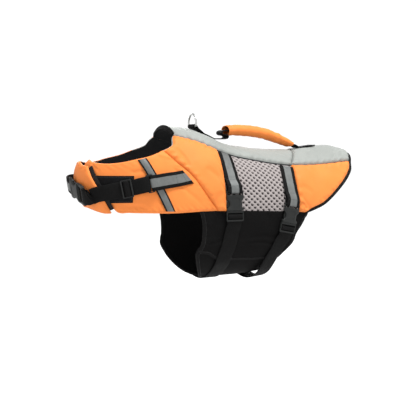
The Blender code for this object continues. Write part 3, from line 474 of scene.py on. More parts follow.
def pulled_in(grid: Array, gap: float) -> Array:
    """A grid with its four edges moved in by `gap`.

    Args:
        grid: Points by row and column.
        gap: How far they move.

    Returns:
        The moved points.
    """
    moved = grid.copy()
    for edge, inside in ((0, 1), (-1, -2)):
        moved[edge] += unit(grid[inside] - grid[edge]) * gap
        moved[:, edge] += unit(grid[:, inside] - grid[:, edge]) * gap
    return moved


class Place:
    """A frame on the jacket: a across, b along and c outward, in millimetres from its origin."""

    def __init__(self, spot: Array, rise: float, along: Array) -> None:
        """Stand `rise` above the skin point `spot` and look `along`.

        Args:
            spot: A skin point.
            rise: How far outside it the origin is.
            along: Which way b looks.
        """
        self.c = SKIN.outward(spot)
        self.origin = spot + self.c * rise
        self.b = unit(along - self.c * np.dot(along, self.c))
        self.a = np.cross(self.b, self.c)

    def points(self, rows: Any) -> Array:
        """Points given as rows of a, b, c."""
        return self.origin + np.asarray(rows, float) @ np.array([self.a, self.b, self.c])

    def band(self, rows: Sequence[Point]) -> Row:
        """A band's middle line, given as rows of b and c, and the way across it."""
        return self.points([(0, b, c) for b, c in rows]), np.tile(self.a, (len(rows), 1))


# -------- relief on cloth

def wander(points: Array, size: float, seed: int, waves: int = 9) -> Array:
    """Soft unevenness.

    Args:
        points: Where it is wanted.
        size: Rough distance between two rises, in millimetres.
        seed: Which unevenness.
        waves: How many waves it is made of.

    Returns:
        Heights of about -1 to 1, in the shape of `points` without its last axis.
    """
    draw = np.random.default_rng(seed)
    ways = unit(draw.normal(size=(waves, 3))) * draw.uniform(0.7, 1.5, (waves, 1)) * 2 * math.pi / size
    phases = draw.uniform(0, 2 * math.pi, waves)
    return np.sin(np.asarray(points) @ ways.T + phases).sum(axis=-1) / waves**0.5 / 1.4


class Crease(NamedTuple):
    """A soft trough in a panel, or with a depth below 0 a ridge, from one place to another."""

    start: NamedTuple
    end: NamedTuple
    depth: float
    width: float
    bow: float = 0.0

    def dent(self, points: Array, flip: bool) -> Array:
        """How far it lowers the cloth at each of `points`.

        Args:
            points: Points of the cloth.
            flip: Lay the crease on the wearer's other side.

        Returns:
            One depth for each.
        """
        first, last = mirrored(SKIN.points(self[:2])) if flip else SKIN.points(self[:2])
        way, out = last - first, SKIN.outward((first + last) / 2)
        away = points - first
        t = away @ way / np.dot(way, way)
        off = away @ unit(np.cross(out, way)) - np.where((t > 0) & (t < 1), self.bow * 4 * t * (1 - t), 0)
        deep = (away - np.clip(t, 0, 1)[..., None] * way) @ out
        near = np.exp(-(off / self.width) ** 2) * (np.abs(deep) < 40)
        return self.depth * near * ease(t / 0.3 + 0.15) * ease((1 - t) / 0.3 + 0.15)


def creases(kind: Any, *rows: Sequence[float]) -> tuple[Crease, ...]:
    """A table of creases, as rows of both places, the depth, the width and the bow."""
    return tuple(Crease(kind(*row[:2]), kind(*row[2:4]), *row[4:]) for row in rows)


def dents(points: Array, troughs: Sequence[Crease], flip: bool = False) -> Array:
    """How far creases together lower the cloth at each of `points`."""
    return sum([trough.dent(points, flip) for trough in troughs], np.zeros(points.shape[:-1]))


# -------- meshes

class Form:
    """Points, faces, tones and cloth coordinates that become one object.

    A tone is the number of the finish that a face takes.
    """

    rim = (0.22, 0.78)              # the places of a wall's two rim lines, as shares of its thickness

    def __init__(self) -> None:
        """Start with nothing."""
        self.points: list[Array] = []
        self.faces: list[tuple[int, ...]] = []
        self.tones: list[int] = []
        self.corners: list[Array] = []
        self.count = 0

    def add(self, points: Array, faces: Sequence[Sequence[int]], tone: int | Sequence[int] = 0,
            corners: Array | None = None) -> Form:
        """Add points and faces.

        Args:
            points: Rows of x, y, z.
            faces: Corner numbers of each face, among these points.
            tone: The tone of all the faces, or of each.
            corners: Cloth coordinates of each face's corners, one row after the other.

        Returns:
            This form.
        """
        self.faces += [tuple(int(corner) + self.count for corner in face) for face in faces]
        self.tones += [tone] * len(faces) if isinstance(tone, int) else list(tone)
        self.corners.append(np.zeros((sum(map(len, faces)), 2)) if corners is None else corners)
        self.points.append(points)
        self.count += len(points)
        return self

    def add_rings(self, rings: Array, tone: int | Sequence[int] = 0, capped: bool = True,
                  looped: bool = False) -> Form:
        """Add a tube through rings of points.

        Args:
            rings: Points by ring and by place round it.
            tone: One tone, or one for each place round a ring.
            capped: Close the two ends.
            looped: Join the last ring to the first.

        Returns:
            This form.
        """
        count, sides = rings.shape[:2]
        u = runs(np.concatenate([rings, rings[:, :1]], axis=1), axis=1)
        u = u - u[:, -1:] / 2
        v = runs((np.concatenate([rings, rings[:1]]) if looped else rings).mean(axis=1))
        i, k = np.indices((len(v) - 1, sides)).reshape(2, -1)
        after, beside = (i + 1) % count, (k + 1) % sides
        faces = np.stack([i * sides + k, i * sides + beside, after * sides + beside, after * sides + k], axis=1)
        corners = np.stack([u[i, k], v[i], u[i, k + 1], v[i], u[after, k + 1], v[i + 1], u[after, k], v[i + 1]],
                           axis=1).reshape(-1, 2)
        faces, tones = faces.tolist(), np.broadcast_to(tone, sides)[k].tolist()
        if capped and not looped:
            last = (count - 1) * sides
            faces += [range(sides - 1, -1, -1), range(last, last + sides)]
            corners = np.concatenate([corners, np.zeros((2 * sides, 2))])
            tones += [0, 0]
        return self.add(rings.reshape(-1, 3), faces, tones, corners)

    def add_wall(self, inner: Array, outer: Array, cloth: Array, round_off: float,
                 start_tone: int = 0) -> Form:
        """Add a closed wall between two grids, with a rounded rim. Its inner face has tone 1.

        Args:
            inner: Grid of its inner points.
            outer: Grid of its outer points.
            cloth: Cloth coordinates of the grid.
            round_off: How far the rim stands out between the two layers' edges.
            start_tone: The rim's tone where the grid starts.

        Returns:
            This form.
        """
        rows, columns = inner.shape[:2]
        at = np.arange(rows * columns).reshape(rows, columns)
        ring = np.concatenate([at[0], at[1:, -1], at[-1, -2::-1], at[-2:0:-1, 0]])
        i, j = np.divmod(ring, columns)
        near = at[np.clip(i, 1, rows - 2), np.clip(j, 1, columns - 2)]
        inner, outer, flat = inner.reshape(-1, 3), outer.reshape(-1, 3), cloth.reshape(-1, 2)
        low, high = inner[ring], outer[ring]
        out = unit(low - inner[near] + high - outer[near])
        middle = [low + (high - low) * share + out * round_off for share in self.rim]
        a, b = at[:-1, :-1].ravel(), at[1:, :-1].ravel()
        inside, outside = np.stack([a, a + 1, b + 1, b], axis=1), np.stack([a, b, b + 1, a + 1], axis=1)
        faces, corners = [inside, outside + at.size], [flat[inside.ravel()], flat[outside.ravel()]]
        tones = [1] * len(inside) + [0] * len(outside)
        count = np.arange(len(ring))
        after = np.roll(count, -1)
        starts = np.where((i == 0) & (i[after] == 0), start_tone, 0).tolist()
        bands = [ring, 2 * at.size + count, 2 * at.size + len(ring) + count, at.size + ring]
        for lower, upper, shades in zip(bands, bands[1:], ([1] * len(ring), starts, starts)):
            faces.append(np.stack([lower, upper, upper[after], lower[after]], axis=1))
            tones += shades
            corners.append(flat[ring[np.stack([count, count, after, after], axis=1).ravel()]])
        return self.add(np.concatenate([inner, outer, *middle]), np.concatenate(faces), tones,
                        np.concatenate(corners))

    def add_plate(self, place: Place, heights: Point, outline: Sequence[Point],
                  *holes: Sequence[Point]) -> Form:
        """Add a flat plate between two heights of a place, from an outline and holes in a and b.

        Args:
            place: Where it stands.
            heights: Where it starts and ends in c.
            outline: Its corners in a and b.
            holes: The corners of each hole.

        Returns:
            This form.
        """
        loops = [outline, *holes]
        flat = [corner for loop in loops for corner in loop]
        pieces = geometry.tessellate_polygon([[Vector((a, b, 0)) for a, b in loop] for loop in loops])
        count, first = len(flat), 0
        faces = [*pieces, *[[count + corner for corner in reversed(piece)] for piece in pieces]]
        for loop in loops:
            for k in range(len(loop)):
                here, there = first + k, first + (k + 1) % len(loop)
                faces.append((here, there, count + there, count + here))
            first += len(loop)
        return self.add(place.points([(a, b, height) for height in heights for a, b in flat]), faces)

    def build(self, name: str, finishes: Sequence[Finish], body: str = JACKET,
              stands_for: str = "", sharp: float = 50.0) -> Object:
        """Make the object, finish it and let it ride.

        Args:
            name: The piece's name.
            finishes: One for each tone.
            body: The CAD body that it moves with, or nothing for the stage.
            stands_for: The CAD node that it replaces, if it does.
            sharp: Edges turn sharp above this angle, in degrees.

        Returns:
            The object.
        """
        mesh = bpy.data.meshes.new(name)
        mesh.from_pydata((np.concatenate(self.points) * MM).tolist(), [], self.faces)
        mesh.polygons.foreach_set("material_index", self.tones)
        layer = mesh.uv_layers.new(name=UV)
        layer.data.foreach_set("uv", np.concatenate(self.corners).astype(np.float32).ravel())
        work = bmesh.new()
        work.from_mesh(mesh)
        bmesh.ops.recalc_face_normals(work, faces=work.faces)
        work.to_mesh(mesh)
        work.free()
        for finish in finishes:
            mesh.materials.append(finish.material())
        mesh.shade_smooth()
        mesh.set_sharp_from_angle(angle=math.radians(sharp))
        made = bpy.data.objects.new(name, mesh)
        bpy.context.scene.collection.objects.link(made)
        if body:
            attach(made, body)
        if stands_for:
            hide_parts(stands_for)
        LOG.info("%s: %d faces, for %s", name, len(self.faces), stands_for or "trim")
        return made


def bevelled(made: Object, width: float, segments: int = 2) -> None:
    """Round the sharp edges of a moulded piece by `width` millimetres.

    Args:
        made: The piece.
        width: How wide the rounding is.
        segments: How many faces it has.
    """
    step = made.modifiers.new("rounded edges", "BEVEL")
    step.width = width * MM
    step.segments = segments
    step.limit_method = "ANGLE"
    step.angle_limit = math.radians(40)
    step.harden_normals = True


def declare_sheet(made: Object, grid: Array) -> None:
    """Work out the flat size and the area of a piece of cloth that was cut to the size of a grid, and keep
    neither.

    Args:
        made: The piece; not used.
        grid: Its skin points, by row and column.
    """
    across, along = runs(grid, 1)[:, -1].max() * MM, runs(grid, 0)[-1].max() * MM
    one, other = grid[1:, 1:] - grid[:-1, :-1], grid[1:, :-1] - grid[:-1, 1:]
    area = float(np.linalg.norm(np.cross(one, other), axis=-1).sum() / 2 * MM * MM)


# -------- shader maths

class Signal:
    """A socket in shader maths. An expression on signals adds the Math nodes that work it out."""

    def __init__(self, paint: Paint, socket: bpy.types.NodeSocket) -> None:
        """Wrap one output socket."""
        self.paint = paint
        self.socket = socket

    def maths(self, operation: str, *others: Any, first: Any = None) -> Signal:
        """The result of a Math node on this signal and others, or on `first` and this signal."""
        values = [self, *others] if first is None else [first, self]
        return self.paint.signal("ShaderNodeMath", {"operation": operation}, dict(enumerate(values)))

    def __add__(self, other: Any) -> Signal:
        """Sum."""
        return self.maths("ADD", other)

    __radd__ = __add__

    def __sub__(self, other: Any) -> Signal:
        """Difference."""
        return self.maths("SUBTRACT", other)

    def __rsub__(self, other: Any) -> Signal:
        """Difference the other way."""
        return self.maths("SUBTRACT", first=other)

    def __mul__(self, other: Any) -> Signal:
        """Product."""
        return self.maths("MULTIPLY", other)

    __rmul__ = __mul__

    def sine(self) -> Signal:
        """Sine."""
        return self.maths("SINE")

    def cosine(self) -> Signal:
        """Cosine."""
        return self.maths("COSINE")

    def ramp(self, low: float, high: float) -> Signal:
        """A soft step: 0 at `low`, 1 at `high`.

        Args:
            low: Where it starts.
            high: Where it ends.

        Returns:
            The step.
        """
        return self.paint.signal(
            "ShaderNodeMapRange", {"interpolation_type": "SMOOTHSTEP"},
            {"Value": self, "From Min": low, "From Max": high, "To Min": 0.0, "To Max": 1.0})


class Paint:
    """A material that is being mixed."""

    def __init__(self, name: str) -> None:
        """Start a material with its Principled shader.

        Args:
            name: The material's name.
        """
        self.result = bpy.data.materials.new(name)
        self.result.use_nodes = True
        self.tree = self.result.node_tree
        self.shader = self.tree.nodes["Principled BSDF"]

    @staticmethod
    def find(sockets: Any, key: int | str) -> bpy.types.NodeSocket:
        """The socket with a number, an identifier or a name.

        Args:
            sockets: A node's inputs or outputs.
            key: What the socket goes by.

        Returns:
            The socket.
        """
        if isinstance(key, int):
            return sockets[key]
        return next((socket for socket in sockets if socket.identifier == key), None) or sockets[key]

    def feed(self, node: bpy.types.Node, inputs: dict[int | str, Any]) -> None:
        """Give a node's sockets their values or links.

        Args:
            node: The node.
            inputs: What each socket gets.
        """
        for key, value in inputs.items():
            socket = self.find(node.inputs, key)
            if isinstance(value, Signal):
                self.tree.links.new(value.socket, socket)
            else:
                socket.default_value = value

    def signal(self, kind: str, settings: dict[str, Any] | None = None,
               inputs: dict[int | str, Any] | None = None, output: int | str = 0) -> Signal:
        """Add any node.

        Args:
            kind: Its type.
            settings: Its settings, which are made first.
            inputs: Values or signals for its sockets.
            output: Which of its outputs is wanted.

        Returns:
            That output.
        """
        node = self.tree.nodes.new(kind)
        for key, value in (settings or {}).items():
            setattr(node, key, value)
        self.feed(node, inputs or {})
        return Signal(self, self.find(node.outputs, output))

    def cloth(self) -> tuple[Signal, Signal]:
        """Millimetres across and along the cloth.

        Returns:
            Both signals.
        """
        split = self.signal("ShaderNodeSeparateXYZ", inputs={
            0: self.signal("ShaderNodeUVMap", {"uv_map": UV})})
        return split, Signal(self, split.socket.node.outputs[1])

    def noise(self, per_metre: float, detail: float = 3.0, roughness: float = 0.55) -> Signal:
        """Noise from 0 to 1 through the whole object, with so many rises in a metre.

        Args:
            per_metre: How many rises.
            detail: How many finer layers it has.
            roughness: How strong those are.

        Returns:
            The noise.
        """
        place = self.signal("ShaderNodeTexCoord", output="Object")
        return self.signal("ShaderNodeTexNoise", inputs={
            "Vector": place, "Scale": per_metre, "Detail": detail, "Roughness": roughness})

    def blend(self, share: Signal, first: Any, second: Any) -> Signal:
        """A colour between two colours."""
        return self.signal("ShaderNodeMix", {"data_type": "RGBA"}, {
            "Factor_Float": share, "A_Color": first, "B_Color": second}, "Result_Color")

    def shades(self, share: Signal, colour: Rgb, first: float, second: float) -> Signal:
        """A colour between two shades of one colour."""
        return self.blend(share, rgba(colour, first), rgba(colour, second))

    def relief(self, height: Signal) -> Signal:
        """A Normal from heights in millimetres."""
        return self.signal("ShaderNodeBump", inputs={"Height": height, "Strength": 1.0, "Distance": MM})

    def coat(self, **inputs: Any) -> Material:
        """Set the shader's sockets, with _ for a space in their names, and hand over the material."""
        self.feed(self.shader, {key.replace("_", " "): value for key, value in inputs.items()})
        return self.result


Rgb = tuple[float, float, float]


def rgba(colour: Rgb, share: float = 1.0) -> tuple[float, float, float, float]:
    """A colour for a socket, made lighter or darker by `share`."""
    return (*[min(value * share, 1.0) for value in colour], 1.0)


def wave(value: Signal, pitch: float) -> Signal:
    """A wave of -1 to 1 that repeats every `pitch` millimetres."""
    return (value * (2 * math.pi / pitch)).sine()


# -------- finishes

MADE: dict[str, Material] = {}


@dataclass(frozen=True)
class Finish:
    """A surface: its name, its colour and a slot name, which nothing here reads."""

    name: str
    colour: Rgb
    slot: str = ""
    rough: float = 0.7

    def material(self) -> Material:
        """The material, which is mixed once.

        Returns:
            The material.
        """
        if self.name not in MADE:
            MADE[self.name] = self.mix(Paint(self.name))
            MADE[self.name].diffuse_color = rgba(self.colour)
        return MADE[self.name]

    def mix(self, paint: Paint) -> Material:
        """Mix the material."""
        raise NotImplementedError


@dataclass(frozen=True)
class Woven(Finish):
    """Plain woven nylon with a soft sheen."""

    thread: float = 0.8
    crinkle: float = 0.25
    fade: float = 0.1

    def mix(self, paint: Paint) -> Material:
        """Mix the threads, the crinkles between them and a slight unevenness of the dye.

        Args:
            paint: The material to mix.

        Returns:
            The material.
        """
        u, v = paint.cloth()
        weave = wave(u, self.thread) * wave(v, self.thread)
        patches, fine = paint.noise(14, 4), paint.noise(900, 2)
        colour = paint.shades(patches.ramp(0.3, 0.7), self.colour, 1 - self.fade, 1)
        colour = paint.blend((weave * 0.5 + 0.5) * 0.16, colour, rgba(self.colour, 0.6))
        crinkles = paint.noise(60, 4, 0.5) * self.crinkle
        return paint.coat(
            Base_Color=colour, Roughness=patches * 0.12 + (self.rough - 0.06), Specular_IOR_Level=0.22,
            Normal=paint.relief(weave * 0.03 + fine * 0.05 + crinkles))


@dataclass(frozen=True)
class Netting(Finish):
    """Spacer net: knitted strands round open holes, in staggered rows."""

    across: float = 12.4
    along: float = 10.4
    lean: float = 0.26
    opens: float = 0.42
    # painted shade: the holes' near-black colour stands for the shade inside them and the black lining below
    hole: Rgb = (0.03, 0.026, 0.026)

    def openness(self, u: Any, v: Any, cosine: Callable[[Any], Any]) -> Any:
        """How deep in a hole a place is: 1 in its middle, below `opens` on the strands."""
        u, v = u * (2 * math.pi / self.across), v * (2 * math.pi / self.along)
        return cosine(u) * cosine(v) * (1 - self.lean) + cosine(u + v) * self.lean

    def mix(self, paint: Paint) -> Material:
        """Mix pale knitted strands, with painted shade that darkens them toward the holes, and dark holes
        painted for the shade inside them and the black lining below.

        Args:
            paint: The material to mix.

        Returns:
            The material.
        """
        u, v = paint.cloth()
        depth = self.openness(u, v, Signal.cosine)
        hole = depth.ramp(self.opens - 0.04, self.opens + 0.16)
        knit = wave(u + v, 0.9) * wave(u - v, 0.9)
        # painted shade: the strands grow darker toward each hole, where the net dips into it
        strand = paint.shades(depth.ramp(-0.7, 0.45), self.colour, 1, 0.8)
        strand = paint.blend((knit * 0.5 + 0.5) * 0.3, strand, rgba(self.colour, 0.62))
        # the holes take the near-black hole colour: painted shade inside them, and the black lining below
        return paint.coat(
            Base_Color=paint.blend(hole, strand, rgba(self.hole)), Roughness=self.rough,
            Specular_IOR_Level=0.2, Normal=paint.relief(knit * 0.09 + paint.noise(700, 2) * 0.1))


@dataclass(frozen=True)
class Jersey(Finish):
    """Rubber sheet with a fine knitted face."""

    def mix(self, paint: Paint) -> Material:
        """Mix the knit's columns and a little lint.

        Args:
            paint: The material to mix.

        Returns:
            The material.
        """
        u, v = paint.cloth()
        knit = wave(u, 1.1) * 0.5 + wave(v + wave(u, 1.1) * 0.25, 0.8) * 0.4
        lint = paint.noise(340, 5, 0.7)
        colour = paint.shades(lint.ramp(0.5, 0.75) * 0.5, self.colour, 1, 2)
        return paint.coat(
            Base_Color=colour, Roughness=self.rough, Specular_IOR_Level=0.06,
            Normal=paint.relief(knit * 0.05 + lint * 0.12 + paint.noise(40, 3) * 0.35))


@dataclass(frozen=True)
class Webbed(Finish):
    """Woven strap: crosswise ribs between fine lengthwise threads."""

    rib: float = 1.5
    thread: float = 1.9

    def mix(self, paint: Paint) -> Material:
        """Mix the ribs, broken by the threads that hold them, with a painted highlight on their crests.

        Args:
            paint: The material to mix.

        Returns:
            The material.
        """
        u, v = paint.cloth()
        ribs = wave(v + wave(u, self.thread) * 0.22, self.rib)
        threads = wave(u, self.thread)
        worn = paint.noise(120, 4, 0.6)
        # painted highlight: each rib is lighter toward its crest, where it stands highest in the relief
        colour = paint.shades((ribs * 0.5 + 0.5) * 0.55, self.colour, 1, 2.1)
        colour = paint.blend(worn.ramp(0.55, 0.8) * 0.4, colour, rgba(self.colour, 2.6))
        return paint.coat(
            Base_Color=colour, Roughness=worn * 0.16 + (self.rough - 0.08), Specular_IOR_Level=0.1,
            Normal=paint.relief(ribs * 0.11 + threads * 0.05 + worn * 0.1))


@dataclass(frozen=True)
class Reflective(Finish):
    """Silver tape of fine glass beads on cloth."""

    def mix(self, paint: Paint) -> Material:
        """Mix the beads, scuffs and the weave that shows through them.

        Args:
            paint: The material to mix.

        Returns:
            The material.
        """
        u, v = paint.cloth()
        weave = wave(u, 0.9) * wave(v, 0.9)
        scuffs = paint.noise(90, 5, 0.65)
        colour = paint.shades(scuffs.ramp(0.35, 0.7), self.colour, 0.86, 1.08)
        return paint.coat(
            Base_Color=colour, Metallic=0.25, Roughness=scuffs * 0.2 + (self.rough - 0.1),
            Normal=paint.relief(weave * 0.035 + paint.noise(1500, 1) * 0.06 + scuffs * 0.08))


@dataclass(frozen=True)
class Pile(Finish):
    """Fastener cloth: brushed loops or rows of hooks."""

    rows: float = 1.6
    height: float = 0.3

    def mix(self, paint: Paint) -> Material:
        """Mix rows of tufts with a matt, uneven face.

        Args:
            paint: The material to mix.

        Returns:
            The material.
        """
        u, v = paint.cloth()
        tufts = wave(u, self.rows) * wave(v, self.rows * 0.8)
        fluff = paint.noise(620, 5, 0.75)
        colour = paint.shades(fluff.ramp(0.35, 0.75), self.colour, 0.7, 2.4)
        return paint.coat(
            Base_Color=colour, Roughness=self.rough, Specular_IOR_Level=0.15,
            Normal=paint.relief(tufts * self.height * 0.5 + fluff * self.height))


@dataclass(frozen=True)
class Moulded(Finish):
    """Matt moulded plastic with a fine spark-eroded grain."""

    def mix(self, paint: Paint) -> Material:
        """Mix the grain and slight handling marks.

        Args:
            paint: The material to mix.

        Returns:
            The material.
        """
        grain, marks = paint.noise(1400, 2), paint.noise(55, 5, 0.65)
        colour = paint.shades(marks.ramp(0.4, 0.75) * 0.6, self.colour, 1, 1.35)
        return paint.coat(
            Base_Color=colour, Roughness=marks * 0.2 + (self.rough - 0.1), Specular_IOR_Level=0.26,
            Normal=paint.relief(grain * 0.03 + marks * 0.03))


@dataclass(frozen=True)
class Steel(Finish):
    """Bright plated wire with fine rubbed marks."""

    def mix(self, paint: Paint) -> Material:
        """Mix the plating and its rub marks.

        Args:
            paint: The material to mix.

        Returns:
            The material.
        """
        marks = paint.noise(420, 5, 0.7)
        colour = paint.shades(marks.ramp(0.45, 0.8), self.colour, 1, 0.78)
        return paint.coat(
            Base_Color=colour, Metallic=1.0, Roughness=marks * 0.22 + self.rough,
            Normal=paint.relief(marks * 0.02))


@dataclass(frozen=True)
class Thread(Finish):
    """Twisted sewing thread."""

    def mix(self, paint: Paint) -> Material:
        """Mix the ply's twist.

        Args:
            paint: The material to mix.

        Returns:
            The material.
        """
        ply = paint.noise(1800, 2)
        colour = paint.shades(ply, self.colour, 0.7, 1.2)
        return paint.coat(Base_Color=colour, Roughness=self.rough, Normal=paint.relief(ply * 0.06))


@dataclass(frozen=True)
class Paper(Finish):
    """Plain studio paper."""

    glow: float = 0.82

    def mix(self, paint: Paint) -> Material:
        """Mix an even, matt face that glows a little, so that it shows no horizon.

        Args:
            paint: The material to mix.

        Returns:
            The material.
        """
        tooth = paint.noise(30, 3)
        return paint.coat(
            Base_Color=paint.shades(tooth, self.colour, 0.98, 1), Roughness=self.rough,
            Specular_IOR_Level=0.1, Emission_Color=rgba((1.0, 1.0, 1.0)), Emission_Strength=self.glow)


ORANGE = Woven("orange nylon", (0.80, 0.226, 0.045), "orange_ripstop", 0.62)
GREY = Woven("grey oxford", (0.279, 0.292, 0.275), "grey_oxford", 0.6, thread=1.1, crinkle=0.4, fade=0.1)
LINING = Woven("black lining", (0.0045, 0.0045, 0.005), "black_binding", 0.75, crinkle=0.4)
NET = Netting("spacer net", (0.37, 0.332, 0.324), "grey_mesh", 0.8)
NEOPRENE = Jersey("black neoprene", (0.0044, 0.0042, 0.0042), "black_neoprene", 0.8)
BINDING = Webbed("black binding", (0.004, 0.0038, 0.0038), "black_binding", 0.78, rib=0.9, thread=1.4)
PIPING = Woven("dark piping", (0.035, 0.038, 0.038), "black_binding", 0.7)
WEBBING = Webbed("black webbing", (0.0028, 0.0027, 0.0027), "black_webbing", 0.72)
SILVER = Reflective("reflective tape", (0.124, 0.131, 0.128), "reflective_tape", 0.5)
LOOPS = Pile("loop face", (0.0045, 0.0045, 0.005), "hook_and_loop", 0.95, height=0.35)
HOOKS = Pile("hook face", (0.008, 0.008, 0.0085), "hook_and_loop", 0.6, rows=1.3, height=0.2)
PLASTIC = Moulded("black plastic", (0.0105, 0.0115, 0.011), "black_plastic", 0.5)
STEEL = Steel("bright steel", (0.55, 0.55, 0.54), "bright_steel", 0.2)
BLACK_THREAD = Thread("black thread", (0.014, 0.014, 0.014), "", 0.6)
ORANGE_THREAD = Thread("orange thread", (0.66, 0.17, 0.035), "", 0.6)
BACKDROP = Paper("studio paper", (0.30, 0.30, 0.30), "", 0.95)


# -------- stitches and webbing


@dataclass(frozen=True)
class Stitching:
    """Rows of stitches in one thread. A stitch is three rings of four points."""

    thread: Finish
    pitch: float = 3.2
    long: float = 2.3
    radius: float = 0.33
    thin: float = 0.45              # the share of its radius that a stitch keeps at its ends
    lifts: tuple[float, ...] = (0.05, 0.5, 0.05)

    def sew(self, form: Form, line: Array, out: Array) -> None:
        """Add one row of stitches.

        Args:
            form: What they are added to.
            line: Points that they follow, on the cloth.
            out: Away from the cloth, at each point.
        """
        run = runs(line)
        count = int(run[-1] // self.pitch)
        if count < 1:
            return
        at = (np.arange(count) + 0.5) * run[-1] / count
        ends = [read(at + side * self.long / 2, run, line)[:, None] for side in (-1, 0, 1)]
        up = unit(read(at, run, out))[:, None]
        aside = unit(np.cross(ends[2] - ends[0], up))
        shape = np.array([(1, 0), (0, 0.8), (-1, 0), (0, -0.8)]) * self.radius
        rings = [end + up * self.radius * lift + (aside * shape[:, :1] + up * shape[:, 1:]) * share
                 for end, share, lift in zip(ends, (self.thin, 1.0, self.thin), self.lifts)]
        one = [(i + k, i + (k + 1) % 4, i + 4 + (k + 1) % 4, i + 4 + k) for i in (0, 4) for k in range(4)]
        faces = np.array(one + [(3, 2, 1, 0), (8, 9, 10, 11)]) + 12 * np.arange(count)[:, None, None]
        form.add(np.stack(rings, axis=1).reshape(-1, 3), faces.reshape(-1, 4))

    def piece(self, name: str, rows: Sequence[Row]) -> None:
        """Make one object of several rows.

        Args:
            name: Its name.
            rows: Lines on the cloth and the way out along each.
        """
        form = Form()
        for line, out in rows:
            self.sew(form, line, out)
        form.build(name, [self.thread])


class Stripe(Enum):
    """What runs along the middle of a strap, as a share of its width."""

    NONE = 0.0
    GIRTH = 0.52
    CHEST = 0.56
    TAPE = 0.66


@dataclass
class Strap:
    """A length of webbing along a path, in which `across` points over its width."""

    path: Array
    across: Array
    width: float
    thick: float = 2.0
    stripe: Stripe = Stripe.NONE
    slant: float = 0.0
    end_slant: float = 0.0
    pitch: float = 1.6
    stripe_high: float = 0.3
    slant_long: float = 14.0        # how far from an end its slant reaches

    def __post_init__(self) -> None:
        """Smooth the path."""
        path = np.asarray(self.path, float)
        knots = runs(path)
        across = unit(np.broadcast_to(np.asarray(self.across, float), path.shape))
        at = np.linspace(0, knots[-1], max(int(knots[-1] / self.pitch), 4) + 1)
        self.line = smoothed(path, at)
        self.tangent = unit(np.gradient(self.line, axis=0))
        side = read(at, knots, across)
        self.side = unit(side - self.tangent * (side * self.tangent).sum(axis=1, keepdims=True))
        self.out = np.cross(self.side, self.tangent)
        self.run = runs(self.line)
        self.half = self.width / 2
        self.stripe_half = self.half * self.stripe.value

    def profile(self) -> tuple[Array, list[int]]:
        """The cross-section, as places across and out, and the tone of each face round it.

        Returns:
            Rows of across and out, and a tone for each.
        """
        half, deep, stripe = self.half, self.thick / 2, self.stripe_half
        soft = min(deep, 0.9)
        bottom = [(a, -deep) for a in (soft - half, -half / 2, 0, half / 2, half - soft)]
        right = [(half - 0.25 * soft, -0.65 * deep), (half, 0), (half - 0.25 * soft, 0.65 * deep)]
        if stripe:
            high = deep + self.stripe_high
            top = [(half - soft, deep), (stripe + 0.15, deep), (stripe, high), (0, high), (-stripe, high),
                   (-stripe - 0.15, deep), (-half + soft, deep)]
            tones = [0, 0, 1, 1, 0, 0, 0]
        else:
            top = [(a, deep) for a, _ in reversed(bottom)]
            tones = [0] * 5
        left = [(-a, c) for a, c in reversed(right)]
        return np.array(bottom + right + top + left), [0] * 8 + tones + [0] * 3

    def spot(self, across: float, along: float) -> Row:
        """A point on its outer face, and the way out there.

        Args:
            across: Place over its width.
            along: Distance from its start.

        Returns:
            The point and the way out.
        """
        line, side, out = [read(along, self.run, values) for values in (self.line, self.side, self.out)]
        out = unit(out)
        raised = self.thick / 2 + (self.stripe_high if abs(across) < self.stripe_half else 0)
        return line + side * across + out * raised, out

    def row(self, *places: Point) -> Row:
        """A line on its outer face through places across and along, and the way out along it.

        Args:
            places: Place over its width and distance from its start, for each corner.

        Returns:
            The line and the way out along it.
        """
        found = []
        for (a, b), (c, d) in zip(places, places[1:]):
            steps = max(int(math.hypot(c - a, d - b) / 1.5), 1)
            found += [self.spot(a + (c - a) * t, b + (d - b) * t) for t in np.linspace(0, 1, steps + 1)]
        return tuple(np.array(values) for values in zip(*found))

    def crossed_box(self, start: float, end: float, inset: float = 2.5) -> list[Row]:
        """A sewn box with a cross in it, between two distances along.

        Args:
            start: Where it starts.
            end: Where it ends.
            inset: How far inside the strap's edges it is.

        Returns:
            Its rows of stitches.
        """
        half = self.half - inset
        a, b, c, d = (-half, start), (half, start), (half, end), (-half, end)
        return [self.row(a, b, c, d, a), self.row(a, c), self.row(b, d)]

    def make(self, name: str, stands_for: str) -> None:
        """Args:
            name: The piece's name.
            stands_for: The CAD node that it replaces.
        """
        profile, tones = self.profile()
        rings = tube(self.line, self.side, self.out, profile)
        for slant, away in ((self.slant, self.run), (self.end_slant, self.run[-1] - self.run)):
            share = np.clip(1 - away / self.slant_long, 0, 1)[:, None, None]
            rings = rings + self.tangent[:, None] * share * slant * profile[:, :1] / self.half
        finishes = [WEBBING, SILVER] if self.stripe.value else [WEBBING]
        made = Form().add_rings(rings, tones).build(name, finishes, stands_for=stands_for)
        round(self.width * MM, 4)


# -------- padded and plain panels

